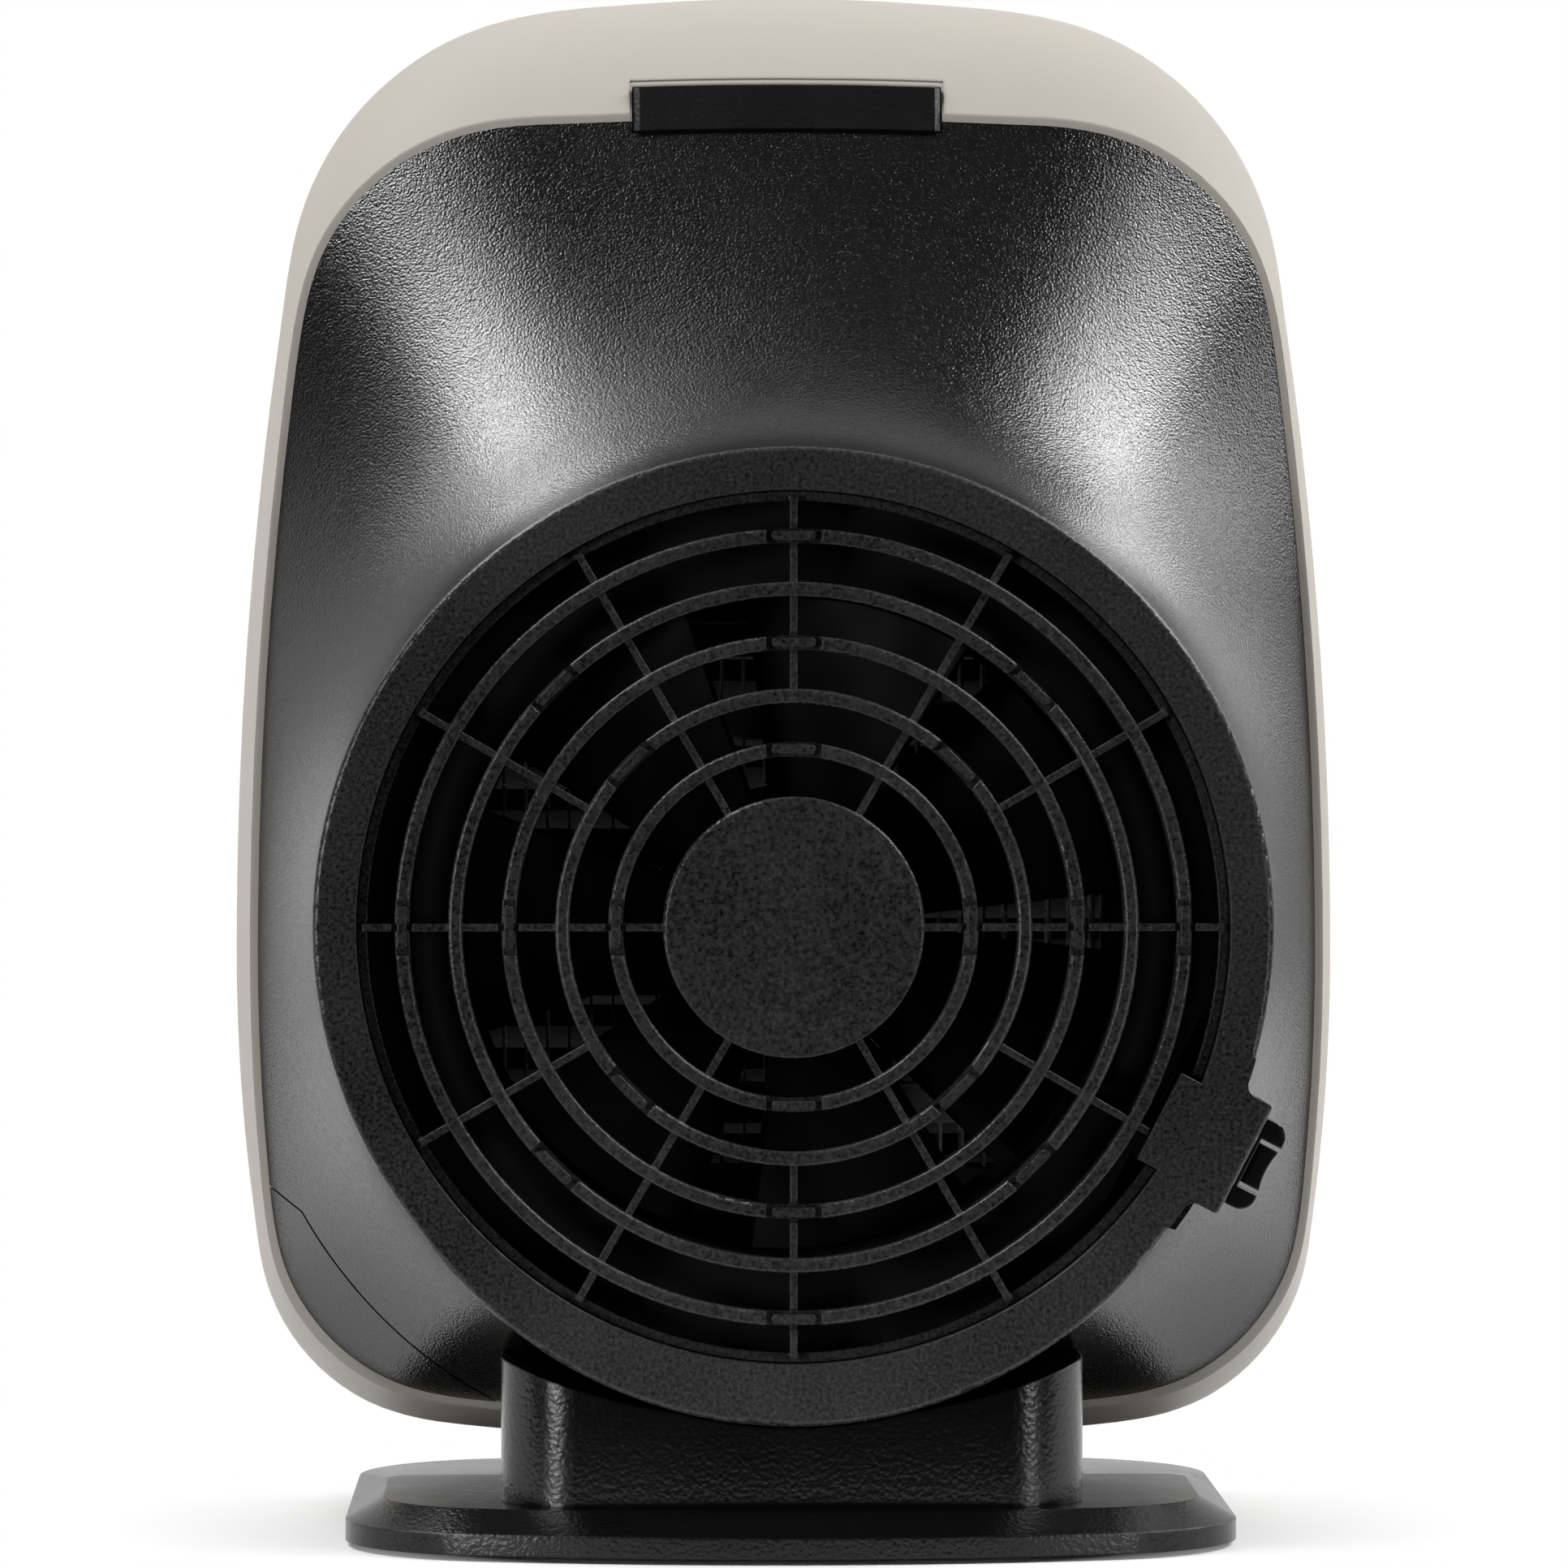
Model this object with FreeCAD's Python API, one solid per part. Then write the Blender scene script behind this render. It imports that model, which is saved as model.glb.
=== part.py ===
import FreeCAD, Part
import math
import os

V = FreeCAD.Vector

# Fan heater with a round rear intake, in millimetres.
# +Z is up, the hot-air outlet faces -Y, the intake faces +Y, the origin is on the floor under the middle.

# Axis of the fan, grille and drum
AXIS_Z = 108.3

# Places along the depth, from the rear to the front
DRUM_FACE_Y = 63.0
DRUM_STRAIGHT = 6.0
COVER_DEPTH = 60.0
SHELL_DEPTH = 35.0
BEZEL_DEPTH = 26.0
COVER_Y = DRUM_FACE_Y - COVER_DEPTH
RING_Y = DRUM_FACE_Y - DRUM_STRAIGHT
SHELL_Y = COVER_Y - SHELL_DEPTH
FRONT_Y = SHELL_Y - BEZEL_DEPTH

# Casing outline, seen along the depth
CASING_WIDTH = 200.0
CASING_TOP = 275.3
CASING_BOTTOM = 11.5
WIDEST_Z = 101.5
CASING_TOP_ARC = 360.0
CASING_TOP_CORNER = 53.0
CASING_LOW_SIDE_ARC = 350.0
SIDE_ARC = 800.0
BOTTOM_ARC = 500.0
LOW_CORNER = 36.0
SIDE_EASE = 1.6

# Rear cover outline, where it leaves the casing
COVER_SIDE_INSET = 5.4
COVER_TOP_DROP = 24.2
COVER_TOP = CASING_TOP - COVER_TOP_DROP
COVER_BOTTOM_RISE = 7.5
COVER_TOP_ARC = 800.0
COVER_TOP_CORNER = 40.0
COVER_LOW_SIDE_ARC = 400.0
COVER_FLARE = 1.7
SHELL_LIP = 1.4

# Walls and clearances
WALL = 2.6
SEAM = 0.3
FIT = 0.2
RUN_FIT = 0.05
SEAT = 0.25

# How far a cutting shape, or a cutting loft, runs past what it cuts
OVER = 5.0
LOFT_OVER = 1.0

# How far fused shapes reach into each other, and how near counts as the same place
BITE = 0.5
TOUCH = 0.01

# Front bezel
BEZEL_ROUND = 9.0
BEZEL_EASE = 3
BEZEL_RIM = 17.0
PANEL_FLANGE = 3.0
PANEL_PROUD = 1.2
TONGUE_DEPTH = 4.0
TONGUE_WALL = 1.6

# Drum and intake grille
DRUM_R = 82.6
LOBE_R = 77.9
LOBE_DROP = 7.9
SPIGOT_DEPTH = 4.0
BORE_R = 75.1
COLLAR_WALL = 1.9
COLLAR_DEPTH = 16.0
RIM_ROUND = 1.0
HUB_R = 22.5
RING_FIRST_R = 30.6
RING_PITCH = 9.17
RING_COUNT = 5
RING_WIDTH = 2.5
RING_DEPTH = 6.0
RING_ROUND = 0.6
GRILLE_DROP = 0.4
SPOKE_WIDTH = 1.3
SPOKE_DROP = 0.8
HOOP_WIDTH = 1.6
HOOP_DEPTH = 3.0
HUB_THICK = 2.4
HUB_SKIRT = 2.0
SPOKE_COUNT = 12
PADS_PER_RING = 4
NOTCH_LENGTH = 9.6
NOTCH_HALF = 1.8
NOTCH_DROP = 3.0
PAD_LENGTH = 7.6
PAD_WIDTH = 1.6
PAD_ROUND = 0.78
PAD_RISE = 2.5
PAD_ROOT = 0.5

# Main switch and its housing on the drum
SWITCH_ANGLE = -27.3
HOUSING_INNER = 70.7
HOUSING_OUTER = 87.5
HOUSING_INNER_HALF = 8.3
HOUSING_HALF = 10.45
HOUSING_DEPTH = 20.0
HOUSING_FILLET = 2.0
HOUSING_CORNER = 1.1
SWITCH_Y = 53.0
SWITCH_BODY_HALF = 6.4
SWITCH_BODY_DEEP = 11.0
SWITCH_HALF_WIDTH = 5.0
BEZEL_HALF = 8.2
BEZEL_HALF_WIDTH = 5.6
SWITCH_FLANGE = 1.0
SWITCH_PROUD = 4.8
SWITCH_ROUND = 2.8
ROCKER_HALF = 3.7
ROCKER_GAP = 0.8
ROCKER_DEEP = 5.0
ROCKER_DISH = 0.5
ROCKER_STEM_END = 3.4
ROCKER_SINK = 0.1
ROCKER_CAP_LIFT = 0.6
ROCKER_CAP_INSET = 0.4
SWITCH_WALL = 0.8
PIVOT_DEEP = 1.0
PIVOT_R = 0.9
TERMINAL_LENGTH = 2.4
BLADE_HALF = 0.4
BLADE_REACH = 3.0

# Dark tab in a notch of the hood's rear edge, and the shallow rebate round the notch
TAB_HALF = 27.4
TAB_RISE = 6.1
TAB_DROP = 1.9
TAB_PROUD = 1.7
TAB_LEAN = 22.0
TAB_BEVEL = 0.9
TAB_LAP = 2.0
TAB_DEEP = 7.0
TAB_WALL = 1.4
REBATE_DEPTH = 0.4
REBATE_RISE = 1.2
REBATE_SIDE = 0.4

# Lower corner panel
PANEL_SEAM_R = 101.0
PANEL_END_X = 42.0
PANEL_STEP_X = 85.5
PANEL_STEP_Z = 55.5
PANEL_STEP_SLOPE = 34.0

# Fan shroud, fan and motor
INLET_R = 59.0
SHROUD_WALL = 2.0
SHROUD_LENGTH = 37.0
SHROUD_PLATE = 2.0
SHROUD_PLATE_R = 79.0
SHROUD_RIB = 1.2
TIP_GAP = 2.0
FAN_HUB_R = 17.0
FAN_HUB_DEPTH = 20.0
FAN_HUB_WALL = 1.8
FAN_HUB_ROUND = 3.0
FAN_BOSS_R = 5.0
BLADE_COUNT = 7
BLADE_THICK = 1.6
BLADE_ROOT_CHORD = 18.0
BLADE_TIP_CHORD = 46.0
BLADE_ROOT_PITCH = 46.0
BLADE_TIP_PITCH = 26.0
FAN_STANDOFF = 6.0
SPIDER_THICK = 2.5
SPIDER_RIM = 11.0
SPIDER_ARM = 9.0
SPIDER_HUB_R = 24.0
MOTOR_R = 21.0
MOTOR_LENGTH = 28.0
MOTOR_WALL = 1.5
NOSE_R = 6.0
NOSE_LENGTH = 4.0
SHAFT_R = 1.6
SHAFT_TAIL = 3.0
SHAFT_ROOM = 0.4
BUSH_R = 3.4
BUSH_LENGTH = 4.0
BUSH_PROUD = 1.0
ROTOR_R = 9.5
AIR_GAP = 0.5
STATOR_LENGTH = 16.0
CLIP_R = 4.0
CLIP_THICK = 0.8

# Air duct and heating element
DUCT_WIDTH = 130.0
DUCT_HEIGHT = 106.0
DUCT_WALL = 1.2
DUCT_HOLE_LIP = 2.0
PTC_DEPTH = 18.0
PTC_FROM_PANEL = 5.0
PTC_FRAME_RIM = 6.0
PTC_BAR_COUNT = 4
PTC_BAR_HEIGHT = 6.0
PTC_SET = 2.0
FIN_PITCH = 4.0
FIN_THICK = 0.5
CUTOUT_R = 8.0
CUTOUT_HEIGHT = 7.0
CUTOUT_EAR = 5.0
CUTOUT_EAR_HALF = 4.0
CUTOUT_EAR_THICK = 1.2
CUTOUT_FROM_PTC = 2.0
FUSE_X = 24.0
FUSE_R = 1.8
FUSE_LENGTH = 14.0

# Outlet louvres and controls on the front panel
PANEL_THICK = 3.0
LOUVRE_PITCH = 8.0
LOUVRE_BAR = 4.0
LOUVRE_SLOPE = 46.0
MULLION_HALF = 1.5
GROOVE_LOW_Z = 36.3
GROOVE_TOP_Z = 196.4
GROOVE_MARGIN = 6.0
GROOVE_DEPTH = 1.6
DUCT_LAP = 2.0
CONTROL_Z = 222.0
CONTROL_WIDTH = 92.0
CONTROL_HEIGHT = 24.0
CONTROL_THICK = 2.4
CONTROL_ROUND = 1.0
KEY_COUNT = 3
KEY_PITCH = 26.0
KEY_R = 5.0
KEY_FLANGE = 1.2
KEY_FLANGE_THICK = 1.0
KEY_GAP = 0.3
KEY_PROUD = 1.0
KEY_TRAVEL = 0.8
KEY_ROUND = 0.5
KEY_REST_GAP = 0.1
TACT_HEIGHT = 4.3
TACT_STEM = 1.0
TACT_STEM_R = 1.7
TACT_SIZE = 6.0
BOARD_THICK = 1.6
BOARD_WIDTH = 86.0
BOARD_HEIGHT = 34.0
STANDOFF_R = 3.0
STANDOFF_INSET = 4.0

# Power board above the duct
POWER_LIFT = 8.0
POWER_FROM_PANEL = 4.0
POWER_DEPTH = 26.0
RELAY_XS = (-21.0, 1.0)
RELAY_HALF = 9.0
RELAY_DEPTH = 15.0
RELAY_HEIGHT = 15.0
CAPACITOR_X = 24.0
CAPACITOR_R = 5.0
CAPACITOR_HEIGHT = 17.0

# Neck and base
NECK_HALF = 50.5
NECK_REAR_Y = 62.0
NECK_FRONT_Y = -8.0
NECK_CORNER = 14.0
NECK_REAR_ARC = 420.0
NECK_SADDLE_R = 129.5
NECK_SADDLE_Z = 23.2
NECK_WALL = 3.0
NECK_SCREW_YS = (20.0, 38.0)
NECK_SCREW_Z = 17.0
NECK_THREAD = 4.5
NECK_SCREW_LENGTH = 13.0
NECK_POST_X = 38.0
NECK_POST_YS = (6.0, 44.0)
TIP_SWITCH_X = 19.0
TIP_SWITCH_HALF = 7.0
TIP_SWITCH_HALF_DEPTH = 6.0
TIP_SWITCH_HEIGHT = 7.0
BASE_HALF = 77.8
BASE_REAR_Y = 75.0
BASE_FRONT_Y = -75.0
BASE_REAR_ARC = 200.0
BASE_FRONT_ARC = 330.0
BASE_REAR_CORNER = 30.0
BASE_FRONT_CORNER = 32.0
FOOT_HEIGHT = 1.0
BASE_EDGE_Z = 4.6
BASE_TOP_Z = 8.4
BASE_CHAMFER = 6.6
PLATEAU_FRONT_Y = -1.0
PLATEAU_FRONT_ARC = 1320.0
PLATEAU_CORNER = 5.0
BASE_WALL = 3.0
BALLAST_THICK = 2.6
FOOT_R = 7.0
FOOT_X = 58.0
FOOT_FRONT_Y = -50.0
FOOT_REAR_Y = 46.0

# Fasteners
SCREW_R = 1.5
SCREW_HEAD_R = 2.9
SCREW_HEAD = 1.8
SCREW_SPARE = 0.5
BOSS_R = 4.0
BOSS_BITE = 1.0
BOSS_LENGTH = 12.0
BRACKET_SCREW_BITE = 8.0
MOTOR_SCREW_ANGLES = (0.0, 180.0)

# Cord inlet
INLET_X = -40.0
INLET_Y = -22.0
INLET_BUSH_R = 5.2
INLET_PROUD = 0.4
INLET_LENGTH = 4.0
CORD_HOLE_R = 3.4

# Switch leads and the block they end in
LEAD_R = 1.1
LEAD_SPREAD = 3.6
LEAD_FIRST_RUN = 20.0
LEAD_LAST_RUN = 18.0
LEAD_SIDE_STEP = 13.0
LEAD_LOW_RISE = 2.0
LEAD_LOW_Y = 14.0
LEAD_HIGH_DROP = 14.0
LEAD_HIGH_Y = -3.0
LEAD_BEND_SHARE = 0.45
TERMINAL_BLOCK_DEEP = 10.0
TERMINAL_BLOCK_HALF = 8.0
TERMINAL_BLOCK_HEIGHT = 15.0
TERMINAL_BLOCK_Y = -32.0

# Points round each section, and where the sections lie along the shell, the bezel and the cover
SECTION_POINTS = 72
SHELL_SHARES = (0.0, 1 / 3, 2 / 3, 1.0)
COVER_SHARES = (0.0, 0.15, 0.35, 0.6, 0.8, 1.0)


# Small makers of solids


def block(x0, x1, y0, y1, z0, z1):
    return Part.makeBox(x1 - x0, y1 - y0, z1 - z0, V(x0, y0, z0))


def rod(radius, y0, y1, x=0.0, z=AXIS_Z):
    return Part.makeCylinder(radius, y1 - y0, V(x, y0, z), V(0, 1, 0))


def pipe(outer, inner, y0, y1, x=0.0, z=AXIS_Z):
    return rod(outer, y0, y1, x, z).cut(rod(inner, y0 - OVER, y1 + OVER, x, z))


def post(radius, x, y, z0, z1):
    return Part.makeCylinder(radius, z1 - z0, V(x, y, z0))


def fuse_all(shapes):
    return shapes[0].multiFuse(shapes[1:]).removeSplitter()


def turned(shape, degrees):
    copy = shape.copy()
    copy.rotate(V(0, 0, AXIS_Z), V(0, 1, 0), degrees)
    return copy


def at_angle(shape, angle):
    """Turn a shape built along +X to an angle counted as seen from behind, from the viewer's right."""
    return turned(shape, 180.0 + angle)


def radial_block(r0, r1, half, y0, y1):
    return block(r0, r1, y0, y1, AXIS_Z - half, AXIS_Z + half)


def mix(a, b, share):
    return a + (b - a) * share


def save(name, shapes):
    solids = shapes if isinstance(shapes, list) else [shapes]
    bodies = []
    for solid in solids:
        bodies.extend(solid.Solids)
    shape = bodies[0] if len(bodies) == 1 else Part.makeCompound(bodies)
    if not shape.isValid():
        raise ValueError(name + " is not a valid solid")
    shape.exportStep("parts/" + name + ".step")
    print(name, len(bodies), round(shape.Volume, 1))


# Outlines of tangent arcs, as a radius at each angle about the fan axis


def corner_centre(a, ra, b, rb, r):
    """Centre of an arc of radius r that touches two larger circles from inside, on the +X side."""
    da = ra - r
    db = rb - r
    dx = b[0] - a[0]
    dz = b[1] - a[1]
    gap = math.hypot(dx, dz)
    along = (da * da - db * db + gap * gap) / (2 * gap)
    across = math.sqrt(da * da - along * along)
    mx = a[0] + along * dx / gap
    mz = a[1] + along * dz / gap
    one = (mx + across * dz / gap, mz - across * dx / gap)
    other = (mx - across * dz / gap, mz + across * dx / gap)
    return max(one, other)


def touch_angle(big, radius, small):
    gap = math.hypot(small[0] - big[0], small[1] - big[1])
    x = big[0] + (small[0] - big[0]) * radius / gap
    z = big[1] + (small[1] - big[1]) * radius / gap
    return math.atan2(z - AXIS_Z, x)


def outline(half, top, bottom, top_arc, low_side_arc, top_corner, low_corner):
    """Six tangent arcs up one side, with the angles at which each gives way to the next."""
    top_c = (0.0, top - top_arc)
    bottom_c = (0.0, bottom + BOTTOM_ARC)
    side_c = (half - SIDE_ARC, WIDEST_Z)
    low_c = (half - low_side_arc, WIDEST_Z)
    high_corner_c = corner_centre(top_c, top_arc, side_c, SIDE_ARC, top_corner)
    low_corner_c = corner_centre(bottom_c, BOTTOM_ARC, low_c, low_side_arc, low_corner)
    marks = [
        touch_angle(bottom_c, BOTTOM_ARC, low_corner_c),
        touch_angle(low_c, low_side_arc, low_corner_c),
        math.atan2(WIDEST_Z - AXIS_Z, half),
        touch_angle(side_c, SIDE_ARC, high_corner_c),
        touch_angle(top_c, top_arc, high_corner_c),
    ]
    arcs = [(bottom_c, BOTTOM_ARC), (low_corner_c, low_corner), (low_c, low_side_arc)]
    arcs += [(side_c, SIDE_ARC), (high_corner_c, top_corner), (top_c, top_arc)]
    return marks, arcs


def outline_radius(shape, angle):
    marks, arcs = shape
    ux = abs(math.cos(angle))
    uz = math.sin(angle)
    folded = math.atan2(uz, ux)
    centre, radius = arcs[sum(folded > mark for mark in marks)]
    cz = centre[1] - AXIS_Z
    along = ux * centre[0] + uz * cz
    return along + math.sqrt(along * along - centre[0] ** 2 - cz * cz + radius * radius)


def ring_wire(y, radius_at):
    points = []
    for k in range(SECTION_POINTS):
        angle = 2 * math.pi * k / SECTION_POINTS
        r = radius_at(angle)
        points.append(V(r * math.cos(angle), y, AXIS_Z + r * math.sin(angle)))
    curve = Part.BSplineCurve()
    curve.interpolate(Points=points, PeriodicFlag=True)
    return Part.Wire([curve.toShape()])


def casing_outline(inset):
    half = CASING_WIDTH / 2 - inset
    return outline(half, CASING_TOP - inset, CASING_BOTTOM + inset, CASING_TOP_ARC - inset,
                   CASING_LOW_SIDE_ARC, CASING_TOP_CORNER - inset, LOW_CORNER - inset)


def cover_outline(inset):
    half = CASING_WIDTH / 2 - COVER_SIDE_INSET - inset
    return outline(half, COVER_TOP - inset, CASING_BOTTOM + COVER_BOTTOM_RISE + inset,
                   COVER_TOP_ARC - inset, COVER_LOW_SIDE_ARC, COVER_TOP_CORNER - inset, LOW_CORNER - inset)


def shell_outline(share, inset):
    """Outline of the pale shell between its widest line, share 0, and its rear lip, share 1."""
    hood = share * share
    half = CASING_WIDTH / 2 - mix(0, COVER_SIDE_INSET - SHELL_LIP, share ** SIDE_EASE) - inset
    top = CASING_TOP - mix(0, COVER_TOP_DROP - SHELL_LIP, hood) - inset
    bottom = CASING_BOTTOM + mix(0, COVER_BOTTOM_RISE - SHELL_LIP, hood) + inset
    return outline(half, top, bottom, mix(CASING_TOP_ARC, COVER_TOP_ARC, hood) - inset,
                   mix(CASING_LOW_SIDE_ARC, COVER_LOW_SIDE_ARC, share),
                   mix(CASING_TOP_CORNER, COVER_TOP_CORNER + SHELL_LIP, hood) - inset, LOW_CORNER - inset)


def loft(sections):
    return Part.makeLoft([ring_wire(y, radius_at) for y, radius_at in sections], True, False)


def outline_section(y, shape):
    return y, lambda angle: outline_radius(shape, angle)


def shell_volume(inset, over=0.0):
    """Filled pale shell, with its walls moved in by the inset and its ends run on by the overrun."""
    sections = []
    for share in SHELL_SHARES:
        sections.append(outline_section(mix(SHELL_Y, COVER_Y, share), shell_outline(share, inset)))
    body = loft(sections)
    if over:
        front = loft([outline_section(SHELL_Y - over, shell_outline(0, inset)),
                      outline_section(SHELL_Y, shell_outline(0, inset))])
        rear = loft([outline_section(COVER_Y, shell_outline(1, inset)),
                     outline_section(COVER_Y + over, shell_outline(1, inset))])
        body = fuse_all([front, body, rear])
    return body


def cover_section(y, inset):
    share = (y - COVER_Y) / (COVER_DEPTH - DRUM_STRAIGHT)
    base = cover_outline(inset)
    drum = DRUM_R - inset
    flare = max(0.0, 1 - share) ** COVER_FLARE
    return y, lambda angle: drum + (outline_radius(base, angle) - drum) * flare


def cover_volume(inset, over=0.0):
    """Filled rear cover from the casing to the intake ring, with its walls moved in by the inset."""
    places = [mix(COVER_Y, RING_Y, share) for share in COVER_SHARES]
    if over:
        places = [COVER_Y - over] + places + [RING_Y + over]
    return loft([cover_section(y, inset) for y in places])


def drum_volume(grow, start_y):
    """Filled intake ring: a round drum with a lobe below it."""
    drum = rod(DRUM_R + grow, start_y, DRUM_FACE_Y)
    lobe = rod(LOBE_R + grow, start_y, DRUM_FACE_Y, 0, AXIS_Z - LOBE_DROP)
    return fuse_all([drum, lobe])


def screw_along_y(x, z, head_y, tip_y):
    """Screw driven along the depth, with its head outside head_y."""
    out = -1.0 if tip_y > head_y else 1.0
    low = min(head_y, tip_y)
    high = max(head_y, tip_y)
    head_end = head_y + out * SCREW_HEAD
    head = rod(SCREW_HEAD_R, min(head_y, head_end), max(head_y, head_end), x, z)
    return fuse_all([rod(SCREW_R, low, high, x, z), head])


def screw_up(x, y, head_z, tip_z):
    """Screw driven upwards, with its head below head_z."""
    head = post(SCREW_HEAD_R, x, y, head_z - SCREW_HEAD, head_z)
    return fuse_all([post(SCREW_R, x, y, head_z, tip_z), head])


# Values that several pieces share

COLLAR_END_Y = DRUM_FACE_Y - COLLAR_DEPTH
TUBE_END_Y = COLLAR_END_Y - SHROUD_LENGTH
SPIDER_Y = TUBE_END_Y - SPIDER_THICK
MOTOR_FRONT_Y = SPIDER_Y - MOTOR_LENGTH
DUCT_REAR_Y = SPIDER_Y - DUCT_WALL
PANEL_REAR_Y = FRONT_Y + WALL + PANEL_THICK
PTC_FRONT_Y = PANEL_REAR_Y + PTC_FROM_PANEL
PTC_REAR_Y = PTC_FRONT_Y + PTC_DEPTH
GRILLE_Y = DRUM_FACE_Y - GRILLE_DROP
GRILLE_BACK_Y = GRILLE_Y - RING_DEPTH
HOUSING_Y = DRUM_FACE_Y - HOUSING_DEPTH
RING_RADII = [RING_FIRST_R + RING_PITCH * k for k in range(RING_COUNT)]
SPIDER_SCREW_R = INLET_R + SHROUD_WALL + BOSS_R - BOSS_BITE
SPIDER_SCREW_ANGLES = [45.0, 135.0, 225.0, 315.0]
MOTOR_SCREW_R = (SPIDER_HUB_R + NOSE_R) / 2
NECK_POSTS = [(x, y) for x in (-NECK_POST_X, NECK_POST_X) for y in NECK_POST_YS]
KEY_XS = [KEY_PITCH * (k - (KEY_COUNT - 1) / 2) for k in range(KEY_COUNT)]
KEY_BACK_Y = FRONT_Y + WALL - PANEL_PROUD + CONTROL_THICK + KEY_FLANGE_THICK
BOARD_Y = KEY_BACK_Y + KEY_TRAVEL + KEY_REST_GAP + TACT_HEIGHT
PANEL_FACE_Y = FRONT_Y + WALL - PANEL_PROUD
FAN_FRONT_Y = TUBE_END_Y + FAN_STANDOFF
FAN_BACK_Y = FAN_FRONT_Y + FAN_HUB_DEPTH
FAN_TIP_R = INLET_R - TIP_GAP
SHAFT_REAR_Y = FAN_BACK_Y + 2 * CLIP_THICK
SHAFT_FRONT_Y = MOTOR_FRONT_Y - SHAFT_TAIL
ROTOR_MIDDLE_Y = SPIDER_Y - MOTOR_LENGTH / 2
DUCT_TOP_Z = AXIS_Z + DUCT_HEIGHT / 2 + DUCT_WALL
PTC_HALF_W = DUCT_WIDTH / 2 - FIT
PTC_HALF_H = DUCT_HEIGHT / 2 - FIT
PTC_ROW = (2 * (PTC_HALF_H - PTC_FRAME_RIM)) / PTC_BAR_COUNT
CUTOUT_Y = PTC_REAR_Y + CUTOUT_R + CUTOUT_FROM_PTC
POWER_Z = DUCT_TOP_Z + POWER_LIFT
POWER_Y = PANEL_REAR_Y + POWER_FROM_PANEL
COMPONENT_Z = POWER_Z + BOARD_THICK


def on_circle(radius, degrees):
    turn = math.radians(degrees)
    return radius * math.cos(turn), AXIS_Z + radius * math.sin(turn)


# Outer casing


def tab_space(side, rise, y0, y1):
    """Space of the tab, between two arcs along the cover's top edge, grown at its sides and upwards."""
    centre_z = COVER_TOP - COVER_TOP_ARC
    band = pipe(COVER_TOP_ARC + TAB_RISE + rise, COVER_TOP_ARC - TAB_DROP - side, y0, y1, 0, centre_z)
    return band.common(block(-TAB_HALF - side, TAB_HALF + side, y0, y1, AXIS_Z, 2 * CASING_TOP))


def tab_notch(y0):
    """Notch that takes the tab, from the place y0 rearwards."""
    return tab_space(SEAM, SEAM, y0, DRUM_FACE_Y)


def straight_volume(inset, y0, y1):
    """Filled casing outline, moved in by the inset, between two places along the depth."""
    shape = casing_outline(inset)
    return loft([outline_section(y0, shape), outline_section(y1, shape)])


def make_outer_shell():
    """Pale shell with a tongue at its front that locates the bezel."""
    root_y = SHELL_Y + TONGUE_DEPTH
    tongue = straight_volume(WALL + FIT, SHELL_Y - TONGUE_DEPTH, SHELL_Y + TONGUE_DEPTH / 2)
    filled = shell_volume(0).fuse(tongue)
    behind = block(-CASING_WIDTH, CASING_WIDTH, root_y, DRUM_FACE_Y, -CASING_TOP, 2 * CASING_TOP)
    room = shell_volume(WALL, OVER).common(behind)
    tongue_inset = WALL + FIT + TONGUE_WALL
    tongue_room = straight_volume(tongue_inset, SHELL_Y - TONGUE_DEPTH - OVER, root_y + TONGUE_DEPTH / 2)
    notch = tab_notch(COVER_Y - TAB_DEEP)
    rebate = tab_space(SEAM + REBATE_SIDE, SEAM + REBATE_RISE, COVER_Y - TAB_DEEP, DRUM_FACE_Y)
    rebate = rebate.cut(shell_volume(REBATE_DEPTH))
    inlet = post(INLET_BUSH_R, INLET_X, INLET_Y, 0, AXIS_Z / 2)
    return filled.cut([room, tongue_room]).cut(notch).cut(rebate).cut(inlet)


def make_front_bezel():
    rear_y = SHELL_Y - SEAM
    outer = []
    inner = []
    for share in SHELL_SHARES:
        inset = BEZEL_ROUND * share ** BEZEL_EASE
        inner_y = mix(rear_y + LOFT_OVER, FRONT_Y + WALL, share)
        outer.append(outline_section(mix(rear_y, FRONT_Y, share), casing_outline(inset)))
        inner.append(outline_section(inner_y, casing_outline(inset + WALL)))
    bezel = loft(outer).cut(loft(inner))
    return bezel.cut(straight_volume(BEZEL_RIM, FRONT_Y - OVER, FRONT_Y + WALL + OVER))


# Rear cover, and the intake ring with its collar and switch housing


def side_edges(body, x):
    """Edges along the depth at the housing's two sides, at one distance from the axis."""
    found = []
    for edge in body.Edges:
        ends = [(v.X - x, abs(v.Z - AXIS_Z) - HOUSING_HALF) for v in edge.Vertexes]
        if len(ends) == 2 and all(abs(dx) < TOUCH and abs(dz) < TOUCH for dx, dz in ends):
            found.append(edge)
    return found


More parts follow.
